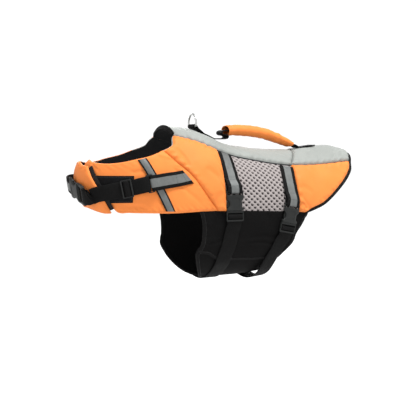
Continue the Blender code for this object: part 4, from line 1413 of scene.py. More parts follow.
@dataclass
class Panel:
    """A panel over a grid of skin points."""

    grid: Array
    full: float
    pinch: float = 3.0
    rim: float = 11.0
    base: Array | float = 0.0
    creases: tuple[Crease, ...] = ()
    pucker: float = 0.35
    billow: float = 0.0
    seed: int = 1
    flip: bool = False
    sewn: tuple[float, float, float, float] = (1, 1, 1, 1)   # how far low, high, start, end are pulled down
    seam: float = 0.2
    bulge: float = 0.6
    pitches: Point = (9.0, 24.0)    # how far apart the puckers along a seam are
    pucker_at: Point = (5.0, 6.5)   # where from the seam they are deepest, and how wide

    def __post_init__(self) -> None:
        """Work out both faces."""
        u, v = runs(self.grid, 0), runs(self.grid, 1)
        away = (v, v[:, -1:] - v, u, u[-1:] - u)
        share = np.ones(self.grid.shape[:2])
        draw = np.random.default_rng(self.seed)
        ripple = np.zeros(self.grid.shape[:2])
        for sewn, distance, along in zip(self.sewn, away, (u, u, v, v)):
            if not sewn:
                continue
            t = np.clip(distance / self.rim, 0, 1)
            share = np.minimum(share, 1 - sewn * (1 - np.sqrt(1 - (1 - t) ** 2)))
            phases, pitches = draw.uniform(0, 6, 3), draw.uniform(*self.pitches, 3)
            waves = sum(np.sin(along * 2 * math.pi / pitch + phase) for pitch, phase in zip(pitches, phases))
            ripple += waves / 1.8 * np.exp(-((distance - self.pucker_at[0]) / self.pucker_at[1]) ** 2)
        soft = ease(np.minimum.reduce(away) / self.rim)
        relief = ripple * self.pucker * share + wander(self.grid, 46, self.seed + 40) * self.billow * soft
        relief = relief - dents(self.grid, self.creases, self.flip) * np.maximum(soft, 0.25)
        height = self.pinch + (self.full - self.pinch) * share + relief
        grid = pulled_in(self.grid, self.seam)
        out = SKIN.outward(grid)
        self.inner = grid + out * np.broadcast_to(self.base, grid.shape[:2])[..., None]
        self.outer = self.inner + out * height[..., None]

    def mirrored(self) -> Panel:
        """The same panel on the wearer's right side, with its own creases."""
        return replace(self, grid=mirrored(self.grid), seed=self.seed + 7, flip=True)

    def make(self, name: str, stands_for: str, finish: Finish, lining: Finish, fill: float | None = None,
             edge: Finish | None = None) -> None:
        """Make the panel.

        Args:
            name: Its name.
            stands_for: The CAD node that it replaces.
            finish: Its outer face.
            lining: Its inner face.
            fill: How full it is, or None for a plain sheet; only whether it is None is used.
            edge: The finish of its rim where the grid starts, if another.
        """
        cloth = np.stack([runs(self.grid, 1), runs(self.grid, 0)], axis=-1)
        form = Form().add_wall(self.inner, self.outer, cloth, self.bulge, 2 if edge else 0)
        made = form.build(name, [finish, lining, edge] if edge else [finish, lining], stands_for=stands_for)
        if fill is None:
            declare_sheet(made, self.grid)

    def inset(self, edge: str, distance: float, ends: float = 0.0) -> Row:
        """A line on the outer face at a distance from one edge.

        Args:
            edge: low, high, start or end.
            distance: From that edge, in millimetres.
            ends: How far from its two ends the line stops.

        Returns:
            The line and the way out along it.
        """
        outer = self.outer if edge in ("low", "high") else self.outer.transpose(1, 0, 2)
        if edge in ("high", "end"):
            outer = outer[:, ::-1]
        line = np.array([read(distance, runs(points), points) for points in outer])
        along = runs(line)
        line = line[(along >= ends) & (along <= along[-1] - ends)]
        return line, SKIN.outward(line)


@dataclass(frozen=True)
class Tape:
    """A folded tape along an edge: its width over the cloth and its whole thickness."""

    width: float
    high: float
    power: float = 0.55
    sides: int = 16

    def rings(self, line: Array, across: Array, out: Array, width: Any = None) -> Array:
        """Its rings about a middle line, as wide as `width` if that is given.

        Args:
            line: The points.
            across: Which way is across, at each.
            out: Which way is out, at each.
            width: One width, or one for each point.

        Returns:
            Points by ring and by place round it.
        """
        wide = np.broadcast_to(self.width if width is None else width, len(line))
        size = np.stack([wide, np.full(len(line), self.high)], axis=1)[:, None] / 2
        return tube(line, across, out, section(self.sides, self.power, self.power) * size)


def cord_rings(line: Array, radius: float) -> Array:
    """Rings of a round cord along a line on the skin.

    Args:
        line: Its middle line.
        radius: Its radius.

    Returns:
        Points by ring and by place round it.
    """
    out = SKIN.outward(line)
    across = unit(np.cross(unit(np.gradient(line, axis=0)), out))
    return tube(line, across, out, section(8) * radius)


# -------- cut lines shared by the sub-assemblies

STRAP_X = -111.7                    # the shoulder panel ends at the front girth strap
MESH_HIGH = 3.0                     # thickness of the spacer net
CHEST_FOAM, SIDE_FOAM, BACK_FOAM = 5.0, 8.5, 9.0
PATCH_THICK, HOOK_THICK, LIE, WEB_THICK = 1.2, 1.5, 0.35, 2.0
RIGHT_BASE = CHEST_FOAM + PATCH_THICK + HOOK_THICK + 4.5 * LIE
GRID = 2.4                          # distance between two points of a panel's grid
BOTH_SIDES = (("L", np.array), ("R", mirrored))


def fine(length: float, pitch: float = GRID) -> int:
    """How many points a line of this length gets."""
    return max(int(round(length / pitch)) + 1, 4)


@dataclass
class CutLines:
    """Every line where two panels meet, worked out once."""

    back_edge: tuple[Top, ...] = rows_of(
        Top, (-192, -45), (-170, -50), (-145, -56), (STRAP_X, -60.5), (-79, -59), (-27, -61.5), (20, -65.5),
        (54, -67), (100, -67), (147, -66))
    back_front: tuple[Top, ...] = rows_of(
        Top, (-192, -45), (-193, -22), (-193.5, 0), (-193, 22), (-192, 45))
    chevron: tuple[Top, ...] = rows_of(
        Top, (54, -67), (72, -45), (87, -22), (93, 0), (87, 22), (72, 45), (54, 67))
    tail_side: tuple[Side, ...] = rows_of(
        Side, (72, -118), (90, -112.6), (111.5, -105), (133, -92), (153, -77.6), (172.5, -62.7),
        (187.5, -49.6), (198, -39))
    tail_foot: Side = Side(64.5, -117.2)
    tail_top: tuple[Top, ...] = rows_of(Top, (206, -60), (213, -51), (222, -35), (229, -18))
    tail_middle: Top = Top(231.5, 0)
    neck: tuple[NamedTuple, ...] = (
        Side(-226, 3), Side(-210, 9), Side(-203, 13), Top(-199, -57), Top(-195.5, -50), Top(-192, -45))
    shoulder: tuple[Side, ...] = rows_of(
        Side, (-226, 3), (-201, -19), (-176, -40), (-152, -72), (-127.7, -106.3))
    strap_edge: tuple[Side, ...] = rows_of(
        Side, (STRAP_X, -107), (STRAP_X, -70), (STRAP_X, -36), (STRAP_X, -18))
    rear_strap_edge: tuple[Side, ...] = rows_of(Side, (47.5, -115.3), (47.6, -99), (48.6, -75), (51.3, -49))
    waist_rows: tuple[Side, ...] = rows_of(
        Side, (-162.6, -106.5), (-127.7, -106.3), (STRAP_X, -107), (-40, -110.3), (17, -113.4),
        (47.5, -115.3), (72, -118))
    binding: float = 6.0

    def __post_init__(self) -> None:
        """Lay the lines on the skin."""
        side_count, top_count = fine(190), fine(150)
        left = SKIN.points(self.tail_side + self.tail_top)
        tail = Seam([*left, self.tail_middle, *mirrored(left[::-1])])
        corner = len(self.tail_side)
        side = tail.even(side_count, 0, corner)
        top = tail.even(top_count, corner, 2 * len(left) - corner)
        self.tail_outer = np.concatenate([side, top[1:], mirrored(side[::-1])[1:]])
        inner = SKIN.beside(self.tail_outer, self.binding)
        foot = SKIN.flank(*self.tail_foot)
        side = resampled(np.concatenate([[foot], inner[5:side_count]]), side_count)
        top = resampled(inner[side_count - 1:side_count + top_count - 1], top_count)
        self.tail_inner_side, self.tail_inner_top = side, top
        self.tail_inner = np.concatenate([side, top[1:], mirrored(side[::-1])[1:]])

        edge = Seam([*self.back_edge, side[-1]])
        self.shoulder_top = edge.even(fine(105), 0, 3)
        self.mesh_top = edge.even(fine(166, Flanks.pitch), 3, 7)
        self.rear_top = edge.even(fine(160), 7)
        self.back_side = np.concatenate([self.shoulder_top, resampled(self.mesh_top, fine(166))[1:]])
        self.front = Seam(self.back_front).even(top_count)
        self.chevron_line = Seam(self.chevron).even(top_count)
        self.neck_line = Seam(self.neck)
        self.diagonal = Seam(self.shoulder).even(len(self.shoulder_top))
        self.waist = Seam(self.waist_rows)
        self.strap_line = Seam([*self.strap_edge, self.shoulder_top[-1]])
        self.rear_line = Seam([*self.rear_strap_edge, self.mesh_top[-1]])


# -------- sub-assemblies

@dataclass
class Jacket:
    """The padded panels: back, shoulders, rear sides and chest."""

    cut: CutLines
    neckline: tuple[Side, ...] = rows_of(
        Side, (-226, 3), (-244, -4), (-262, -9), (-277, -12), (-298, -17), (-314, -19.5))
    neck_left: tuple[Breast, ...] = rows_of(Breast, (-38, -19.5), (-20, -17), (-6, -14))
    neck_right: tuple[Breast, ...] = rows_of(Breast, (38, -20), (20, -21), (0, -24), (-15, -27), (-29, -28))
    low: tuple[Side, ...] = rows_of(
        Side, (-127.7, -106.3), (-165, -106.5), (-215, -107.4), (-259, -106), (-289, -105), (-307, -103))
    low_left: tuple[Breast, ...] = rows_of(Breast, (-60, -99), (-45, -94), (-25, -90), (8, -86))
    low_right: tuple[Breast, ...] = rows_of(
        Breast, (60, -103), (40, -99), (15, -95), (-10, -95), (-30, -99), (-44, -102), (-56, -102))
    left_end: tuple[Breast, ...] = rows_of(Breast, (8, -86), (5, -48), (-6, -14))
    right_end: tuple[Breast, ...] = rows_of(
        Breast, (-56, -102), (-55, -86), (-50, -60), (-41, -43), (-29, -28))
    right_lifts: Point = (45.0, 12.0)
    shoulder_creases: tuple[Crease, ...] = creases(
        Side, (-196, 2, -178, -34, 2.21, 3.2, 3.0), (-173, -52, -140, -88, 1.53, 4.0, -4.0),
        (-150, -30, -122, -52, 1.36, 5.0, 3.0), (-137, -96, -118, -72, 1.7, 3.6, 2.0),
        (-128, -8, -116, -34, 1.19, 4.5, 2.0), (-168, -12, -150, -40, -0.85, 9.0, 3.0))
    chest_creases: tuple[Crease, ...] = creases(
        Side, (-205, -62, -182, -74, 1.35, 3.2, 2.0), (-212, -28, -196, -36, 1.35, 3.0, -2.0),
        (-300, -93, -255, -98, 1.65, 4.0, 2.0), (-292, -34, -262, -30, 1.2, 3.5, -2.0),
        (-190, -72, -160, -96, 1.05, 4.0, 3.0), (-248, -82, -228, -94, 1.2, 3.0, 1.0))
    rear_creases: tuple[Crease, ...] = creases(
        Side, (54, -98, 66, -112, 2.55, 2.6, 1.5), (58, -88, 76, -110, 1.87, 3.2, -2.0),
        (56, -68, 84, -84, 1.19, 5.0, 3.0), (120, -40, 168, -52, 0.85, 7.0, 4.0),
        (94, -104, 128, -86, 1.02, 4.0, 2.0))
    back_creases: tuple[Crease, ...] = creases(
        Top, (-150, -38, -128, -52, 1.44, 4.0, 2.0), (-96, -30, -78, -54, 1.76, 5.0, 3.0),
        (-60, -34, -44, -58, 1.28, 5.0, -2.0), (30, -34, 58, -52, 1.28, 5.0, 3.0),
        (-20, -26, 6, -58, 0.96, 6.0, 3.0), (-96, 30, -78, 54, 1.6, 5.0, -3.0),
        (-30, 30, -8, 58, 1.28, 6.0, 3.0), (28, 30, 52, 54, 1.28, 5.0, 3.0),
        (-160, 30, -130, 50, 1.28, 5.0, 2.0))
    rump_creases: tuple[Crease, ...] = creases(
        Top, (128, -64, 140, -34, 1.92, 4.0, 3.0), (160, -60, 176, -34, 2.4, 4.5, -3.0),
        (178, -58, 196, -42, 1.6, 4.0, 2.0), (104, -60, 112, -30, 1.12, 5.0, 2.0),
        (196, -40, 214, -8, 1.44, 5.0, 3.0), (132, 62, 146, 32, 1.92, 4.0, -3.0),
        (170, 58, 184, 30, 2.08, 4.5, 3.0), (196, 42, 212, 10, 1.44, 5.0, -3.0))

    def lift(self, points: Array) -> Array:
        """How far the right chest panel stands off the skin where it lies on the left one.

        Args:
            points: Skin points.

        Returns:
            One height for each.
        """
        start, end = self.right_lifts
        share = 1 - ease((points[..., 1] - end) / (start - end))
        return RIGHT_BASE * np.where(points[..., 0] < -200, share, 0)

    def chest(self, side: int) -> Panel:
        """The chest panel of one side, which ends on the front of the chest.

        Args:
            side: -1 for the left side, 1 for the right one.

        Returns:
            The panel.
        """
        left = side < 0
        count = fine(290 if left else 350)
        low = Seam([*self.low, *(self.low_left if left else self.low_right)], side).even(count)
        high = Seam([*self.neckline, *(self.neck_left if left else self.neck_right)], side).even(count)
        start = self.cut.diagonal[::-1]
        end = Seam(self.left_end if left else self.right_end).even(len(start))
        grid = patch(low, high, start if left else mirrored(start), end)
        return Panel(grid, CHEST_FOAM, rim=8, base=0.0 if left else self.lift(grid), creases=self.chest_creases,
                     pucker=0.55, seed=11 + side, flip=not left, bulge=1.0)

    def shoulder_panel(self) -> Panel:
        """The left shoulder panel.

        Returns:
            The panel.
        """
        cut = self.cut
        up = cut.strap_line.even(fine(118))
        right = np.concatenate([cut.waist.even(fine(16), 1, 2)[:-1], up])
        grid = patch(cut.diagonal, cut.shoulder_top, cut.neck_line.even(len(right)), right)
        return Panel(grid, SIDE_FOAM + 0.4, rim=9, creases=self.shoulder_creases, pucker=1.3, billow=1.0,
                     seed=3, bulge=0.9, sewn=(1, 1, 1, 0.5))

    def rear_panel(self) -> Panel:
        """The left rear panel.

        Returns:
            The panel.
        """
        cut = self.cut
        edge = cut.rear_line.even(len(cut.tail_inner_side))
        tail = cut.tail_inner_side
        low = Seam([edge[0], (edge[0] + tail[0]) / 2, tail[0]]).even(len(cut.rear_top))
        return Panel(patch(low, cut.rear_top, edge, tail), SIDE_FOAM, creases=self.rear_creases,
                     pucker=1.2, billow=0.9, seed=5, bulge=1.2)

    def back(self) -> tuple[Panel, Panel]:
        """The front and rear back panels.

        Returns:
            Both panels.
        """
        cut = self.cut
        front = patch(cut.back_side, mirrored(cut.back_side), cut.front, cut.chevron_line)
        rear = patch(cut.rear_top, mirrored(cut.rear_top), cut.chevron_line, cut.tail_inner_top)
        return (
            Panel(front, BACK_FOAM, creases=self.back_creases, pucker=1.0, billow=0.6, seed=7,
                  sewn=(1, 1, 0, 1)),
            Panel(rear, BACK_FOAM, creases=self.rump_creases, pucker=1.2, billow=0.9, seed=8))

    def build(self) -> None:
        """Make all the padded panels and the stitches along their open edges."""
        shoulder, rear = self.shoulder_panel(), self.rear_panel()
        stitched: list[Row] = []
        for mark, panel in (("L", shoulder), ("R", shoulder.mirrored())):
            panel.make(f"shoulder_{mark}", f"shoulder_panel_{mark}", ORANGE, LINING, 0.7, GREY)
            stitched.append(panel.inset("start", 4.5, 4))
        for mark, panel in (("L", rear), ("R", rear.mirrored())):
            panel.make(f"rear_side_{mark}", f"rear_panel_{mark}", ORANGE, LINING, 0.7)
        for place, panel in zip(("front", "rear"), self.back()):
            panel.make(f"back_{place}", f"back_panel_{place}", GREY, LINING, 0.7)
        for mark, side in (("L", -1), ("R", 1)):
            panel = self.chest(side)
            panel.make(f"chest_{mark}", f"chest_panel_{mark}", ORANGE, LINING, 0.45)
            stitched += [panel.inset(edge, 4.0, ends) for edge, ends in (("low", 6), ("high", 6), ("end", 5))]
        Stitching(ORANGE_THREAD).piece("edge_stitches", stitched)


@dataclass
class Flanks:
    """The spacer net on both flanks."""

    cut: CutLines
    deep: float = 2.1
    edge: float = 3.0
    pitch: float = 0.86
    lip: float = 0.14               # how far outside a hole's edge the strand starts to sink
    plump: float = 0.45             # how far the strands swell between the holes

    def build(self) -> None:
        """Make both nets, their holes sunk into the face."""
        cut = self.cut
        count = len(cut.mesh_top)
        low = cut.waist.even(count, 2, 5)
        rows = fine(116, self.pitch)
        grid = pulled_in(patch(low, cut.mesh_top, cut.strap_line.even(rows), cut.rear_line.even(rows)), 0.2)
        u, v = runs(grid, 0), runs(grid, 1)
        away = np.minimum.reduce([v, v[:, -1:] - v, u, u[-1:] - u])
        cloth = np.stack([grid[..., 0], v + grid[:, :1, 2]], axis=-1)
        depth = NET.openness(cloth[..., 0], cloth[..., 1], np.cos)
        hole = ease((depth - NET.opens + self.lip) / 0.3)
        swell = self.plump * (1 - np.clip(depth / NET.opens, -1, 1)) / 2
        height = MESH_HIGH - 0.3 + swell - self.deep * hole * ease(away / self.edge)
        height = height * (0.75 + 0.25 * ease(away / self.edge)) + wander(grid, 60, 21) * 0.25 * ease(away / 14)
        outer = grid + SKIN.outward(grid) * height[..., None]
        for mark, flip in BOTH_SIDES:
            form = Form().add_wall(flip(grid), flip(outer), cloth, 0.3)
            declare_sheet(form.build(f"net_{mark}", [NET, LINING], stands_for=f"mesh_panel_{mark}", sharp=80),
                          grid)


@dataclass
class Edging:
    """Bindings and piping."""

    cut: CutLines
    tail: Tape = Tape(7.0, 5.6)
    collar: Tape = Tape(3.6, 9.0, 0.4)
    tail_middle: float = 1.9
    stitch_in: float = 1.6
    collar_in: float = 1.6
    collar_taper: float = 3.5       # how far from its ends the collar's tape grows thinner
    piping: float = 1.25
    piping_high: float = 3.1

    def bind(self, name: str, stands_for: str, rings: Array, line: Array) -> None:
        """Make a binding from its rings; the length of `line`, its middle line, is worked out and not kept."""
        made = Form().add_rings(rings).build(name, [BINDING], stands_for=stands_for)
        round(float(runs(line)[-1]) * MM, 3)

    def build(self) -> None:
        """Make the tail's and the neck's binding and the piping between grey and orange."""
        cut = self.cut
        middle = (cut.tail_outer + cut.tail_inner) / 2
        out = SKIN.outward(middle)
        across = unit(cut.tail_outer - cut.tail_inner)
        wide = np.linalg.norm(cut.tail_outer - cut.tail_inner, axis=1) + 1.0
        rings = self.tail.rings(middle + out * self.tail_middle, across, out, wide)
        self.bind("tail_edge", "tail_binding", rings, middle)
        line = middle + out * (self.tail_middle + self.tail.high * 0.49) - across * self.stitch_in
        Stitching(BLACK_THREAD).piece("tail_stitches", [(line, out)])

        lip = SKIN.beside(cut.front, self.collar_in)
        out = SKIN.outward(lip)
        across = unit(SKIN.beside(cut.front, 2 * self.collar_in) - cut.front)
        ends = np.minimum(runs(lip), runs(lip)[-1] - runs(lip))
        across = across * np.sqrt(1 - (1 - np.clip(ends / self.collar_taper, 0.1, 1)) ** 2)[:, None]
        self.bind("collar_edge", "neck_binding", self.collar.rings(lip + out * (BACK_FOAM / 2), across, out),
                  lip)

        line = np.concatenate([cut.shoulder_top, cut.mesh_top[1::3], cut.rear_top[1:]])
        line = resampled(line, fine(runs(line)[-1], 2.5))
        form = Form()
        for _, flip in BOTH_SIDES:
            form.add_rings(cord_rings(flip(line + SKIN.outward(line) * self.piping_high), self.piping))
        form.build("back_piping", [PIPING])


class BellyEdge(NamedTuple):
    """The belly's fore and aft edges at an angle round the trunk."""

    angle: float
    front: float
    rear: float


@dataclass
class Belly:
    """The two neoprene flaps that close under the belly."""

    cut: CutLines
    edges: tuple[BellyEdge, ...] = rows_of(
        BellyEdge, (0, -118, 22), (20, -140, 15), (38, -158, 12), (46, -163, 23), (57, -157, 40),
        (68, -155, 50), (77, -156.7, 61), (92, -162.6, 72))
    left_end: tuple[float, float, float] = (48.0, 42.0, -122.0)
    step_long: float = 40.0
    right_end: float = 52.0
    lifts: Point = (66.0, 56.5)
    thick: float = 3.0
    columns: int = 98
    left_rows: int = 46
    right_rows: int = 118
    blend: int = 7                  # the rows that lead from the waist's line into the flap's shape
    edge: Tape = Tape(7.0, 4.4, 0.5, 12)
    tape_in: float = 2.6
    stitch_at: Point = (2.4, 0.75)  # from the tape's middle line, inward and outward
    creases: tuple[Crease, ...] = creases(
        Under, (-112, 63, -150, 58, 1.92, 3.0, 4.0), (-74, 57, 8, 55, 2.24, 3.2, 7.0),
        (-62, 64, 0, 63, 1.44, 4.0, 6.0), (-132, 84, -142, 66, 1.44, 5.0, 3.0),
        (16, 86, 40, 70, 1.6, 4.5, 3.0), (-30, 90, -14, 72, 1.12, 6.0, 5.0),
        (-76, -58, -8, -62, 1.76, 4.0, 6.0), (-130, -60, -108, -84, 1.44, 5.0, 4.0))

    def angle_of(self, points: Array) -> Array:
        """The angle of points round the trunk, from the keel."""
        widest = SKIN.section(points[..., 0].ravel())[3].reshape(points.shape[:-1])
        return np.degrees(np.arctan2(np.abs(points[..., 1]), widest - points[..., 2]))

    def flap(self, top: Array, angles: Array) -> Array:
        """A grid from the waist down.

        Args:
            top: Its row on the waist.
            angles: Angle of each point of the grid, by row and column.

        Returns:
            Skin points by row and column.
        """
        table = np.array(self.edges, float)
        front, rear = [smooth_table(table[:, 0], table[:, k], np.abs(angles)) for k in (1, 2)]
        share = np.linspace(0, 1, self.columns)[None]
        grid = SKIN.girth(front + (rear - front) * share, angles).reshape(*angles.shape, 3)
        fade = ease(np.linspace(0, 1, self.blend))[:, None, None]
        grid[:self.blend] += (top[None] - grid[:1]) * (1 - fade)
        return grid

    def build(self) -> None:
        """Make both flaps with their bound edges."""
        top = SKIN.beside(self.cut.waist.even(self.columns), -0.4)
        angles = self.angle_of(top)
        up, down, at = self.left_end
        ends = up + (down - up) * ease((top[:, 0] - at + self.step_long / 2) / self.step_long)
        share = np.linspace(0, 1, self.left_rows)[:, None]
        left = self.flap(top, angles + (ends - angles) * share)
        start, end = self.lifts
        base = (self.thick + 2 * LIE) * (1 - ease((self.angle_of(left) - end) / (start - end)))
        share = np.linspace(0, 1, self.right_rows)[:, None]
        right = self.flap(mirrored(top), -angles + (self.right_end + angles) * share)
        tapes, rows = Form(), []
        for mark, grid, lift, seed in (("L", left, base, 31), ("R", right, 0.0, 32)):
            panel = Panel(grid, self.thick, pinch=self.thick - 0.4, rim=5, base=lift, creases=self.creases,
                          pucker=0.3, seed=seed, sewn=(1, 1, 1, 0), seam=0.1)
            panel.make(f"belly_{mark}", f"belly_panel_{mark}", NEOPRENE, NEOPRENE)
            for edge in ("low", "high", "end"):
                line, out = panel.inset(edge, self.tape_in)
                across = unit(panel.inset(edge, self.tape_in + self.stitch_at[0])[0] - line)
                tapes.add_rings(self.edge.rings(line - out * (self.thick / 2 + 0.1), across, out))
                rows.append((line + across * self.stitch_at[0] + out * self.stitch_at[1], out))
        tapes.build("belly_edges", [BINDING])
        Stitching(BLACK_THREAD).piece("belly_stitches", rows)


# -------- buckles and frames

def rounded(half: float, low: float, high: float, radius: float, steps: int = 5) -> list[Point]:
    """A rectangle in a and b with round corners.

    Args:
        half: Half its width in a.
        low: Where it starts in b.
        high: Where it ends in b.
        radius: Radius of its corners.
        steps: Edges round a corner.

    Returns:
        Its outline.
    """
    right, left, front, back = half - radius, radius - half, low + radius, high - radius
    corners = ((right, front), (right, back), (left, back), (left, front))
    return [place for k, (a, b) in enumerate(corners)
            for place in arc(a, b, radius, radius, 90 * k - 90, 90 * k, steps + 1)]


def carved(made: Object, tool: Form, operation: str) -> None:
    """Join a second form to a piece, or cut it away, for good.

    Args:
        made: The piece.
        tool: The second form.
        operation: UNION joins it, DIFFERENCE cuts it away.
    """
    other = tool.build("tool", [PLASTIC])
    step = made.modifiers.new("carve", "BOOLEAN")
    step.operation = operation
    step.solver = "EXACT"
    step.use_self = True
    step.object = other
    bpy.context.view_layer.update()
    mesh = bpy.data.meshes.new_from_object(made.evaluated_get(bpy.context.evaluated_depsgraph_get()))
    made.modifiers.clear()
    made.data = mesh
    bpy.data.objects.remove(other, do_unlink=True)
    mesh.set_sharp_from_angle(angle=math.radians(50))


@dataclass
class Clasp:
    """A fastened side-release buckle at a place: its socket, its plug and how webbing turns in it."""

    place: Place
    web: float = 30.0
    rail: float = 2.0
    play: float = 0.4
    top_end: float = -28.5
    socket: float = 37.0
    ladder: float = 20.0
    bar: float = 3.0
    slot: float = 5.0
    to_slots: float = 4.5
    middle: float = 2.5
    high: float = 9.0
    wall: float = 2.2
    plug: Point = (2.6, 5.2)
    frame: Point = (2.3, 4.8)
    panel: tuple[float, float, float, float] = (9.5, 5.5, 6.5, 3.5)     # from sides, body, mouth; radius
    panel_deep: float = 0.5
    soft_edges: Point = (0.45, 0.35)
    sewn_high: float = 6.15
    under_high: float = 0.95
    waist: tuple[Point, ...] = (
        (-21, 0.0), (-14.5, 0.1), (-12, 0.9), (-9, 4.0), (-6.5, 5.3), (-4, 5.7), (-1.5, 5.3), (1, 4.0),
        (4, 0.9), (6.5, 0.1), (9, 0.0))

    @property
    def half(self) -> float:
        """Half the buckle's width."""
        return self.web / 2 + self.rail + self.play

    @property
    def inside(self) -> float:
        """Half the width of its slots."""
        return self.web / 2 + self.play

    @property
    def mouth(self) -> float:
        """Where the socket ends."""
        return self.top_end + self.socket

    @property
    def body(self) -> float:
        """Where the socket's shell starts."""
        return self.top_end + self.bar + self.slot

    def shell_rings(self, sides: int = 40) -> Array:
        """Rings of the socket's shell: a flattened tube with a waist and soft ends.

        Args:
            sides: Points round a ring.

        Returns:
            Points by ring and by place round it.
        """
        table = np.array(self.waist, float)
        start, end = self.body, self.mouth
        stops = np.array([start, start + 0.35, start + 1.0, *np.linspace(start + 2, end - 2, 26), end - 1.0,
                          end - 0.35, end])
        near = np.clip(np.minimum(stops - start, end - stops), 0, 1)
        drop = 0.8 * (1 - np.sqrt(1 - (1 - near) ** 2))
        half = self.half - smooth_table(table[:, 0], table[:, 1], stops) - drop
        ring = section(sides, 0.42, 0.42)
        a = half[:, None] * ring[:, 0]
        c = (self.high / 2 - drop * 0.8)[:, None] * ring[:, 1] + self.high / 2
        c -= 0.5 * (a / self.half) ** 2 * np.sign(ring[:, 1])
        return self.place.points(np.stack([a, np.broadcast_to(stops[:, None], a.shape), c], axis=-1))

    def make_socket(self, name: str) -> None:
        """Make the socket: a hollow shell with a sunk panel, and the frame of its slot.

        Args:
            name: The buckle's name.
        """
        place, half = self.place, self.half
        start, end = self.body, self.mouth
        socket = Form().add_rings(self.shell_rings()).build(f"{name}_shell", [PLASTIC],
                                                            stands_for=f"{name}_socket")
        room = rounded(half - self.wall + 0.3, start + self.wall + 0.5, end + 3, 1.5)
        carved(socket, Form().add_plate(place, (self.wall - 0.2, self.plug[1] + 0.9), room), "DIFFERENCE")
        aside, behind, ahead, corners = self.panel
        panel = rounded(half - aside, start + behind, end - ahead, corners)
        depth = self.high - self.panel_deep, self.high + 2
        carved(socket, Form().add_plate(place, depth, panel), "DIFFERENCE")
        frame = rounded(half, self.top_end, start + 0.9, 1.2)
        slot = rounded(self.inside, self.top_end + self.bar, start, 0.4, 2)
        carved(socket, Form().add_plate(place, self.frame, frame, slot), "UNION")
        bevelled(socket, self.soft_edges[0])

    def make_plug(self, name: str) -> None:
        """Make the plug: two sprung prongs, a guide between them and a ladder with two slots.

        Args:
            name: The buckle's name.
        """
        place, half = self.place, self.half
        arm, tip = half - 3.0, self.body + self.wall + 2.5
        end, shoulder = self.mouth + self.ladder, self.mouth + 0.5
        prong = [(arm + a, b) for a, b in (
            (-0.5, shoulder), (-0.5, 4.0), (-0.2, 1.5), (0.3, -1.5), (0.5, -4.5), (0.0, -8), (-1.2, -11),
            (-3, tip), (-6, tip), (-5.0, -9), (-3.9, -5), (-3.8, -1.0), (-4.2, 3.0), (-5, shoulder - 2))]
        guide = [(2.5, shoulder - 2), (2.0, tip + 4), (1.2, tip + 3)]
        right, corner = [(half, shoulder), *prong, *guide], arc(half - 2, end - 2, 2, 2, 90, 0, 6)
        outline = [*right, *[(-a, b) for a, b in [*right[::-1], *corner[::-1]]], *corner]
        first = self.mouth + self.to_slots
        second = first + self.slot + self.middle
        slots = [rounded(self.inside, first, first + self.slot, 0.6, 2),
                 rounded(self.inside, second, end - self.bar, 0.6, 2)]
        plug = Form().add_plate(place, self.plug, outline, *slots).build(f"{name}_prongs", [PLASTIC],
                                                                        stands_for=f"{name}_plug")
        rails, (low, high) = Form(), self.plug
        for side in (-1, 1):
            one, other = sorted((side * (half - 0.05), side * (half - self.rail + 0.35)))
            rails.add_plate(place, (low - 0.7, high + 0.9), [(one, shoulder + 0.3), (other, shoulder + 0.3),
                                                             (other, end - 2.2), (one, end - 2.2)])
        collar = rounded(half - 0.6, shoulder + 0.05, shoulder + 3.2, 1.0)
        rails.add_plate(place, (low - 0.9, high + 1.3), collar)
        carved(plug, rails, "UNION")
        bevelled(plug, self.soft_edges[1])

    def build(self, name: str) -> None:
        """Make the socket and the plug."""
        self.make_socket(name)
        self.make_plug(name)

    def socket_turn(self) -> Row:
        """Webbing that turns round the socket's bar: over, down and back under.

        Returns:
            Its middle line and the way across it.
        """
        b, top = self.top_end + self.bar, self.top_end
        return self.place.band([
            (top - 7, 5.2), (top - 2.5, 6.05), (top - 0.5, self.sewn_high), (b + 0.3, self.sewn_high),
            (b + 1.3, 5.3), (b + 1.6, 3.55), (b + 1.3, 1.9), (b + 0.3, self.under_high),
            (top - 1.5, self.under_high), (top - 6, 0.8)])

    def ladder_climb(self) -> Row:
        """Webbing threaded through the plug's ladder, from its tail out past the end bar.

        Returns:
            Its middle line and the way across it.
        """
        step = self.mouth + self.to_slots
        over = self.plug[1] + 2 * LIE + WEB_THICK / 2
        return self.place.band([
            (self.mouth + 1.2, 1.2), (step + 0.5, 1.25), (step + self.slot - 0.3, over),
            (step + self.slot + 2.8, over), (self.mouth + self.ladder - self.bar - 0.5, 1.25),
            (self.mouth + self.ladder + 1, 1.2), (self.mouth + self.ladder + 5, 0.6)])


class Lay(NamedTuple):
    """Webbing under the belly: its place round the trunk and its gap over the skin."""

    angle: float
    x: float
    under: float


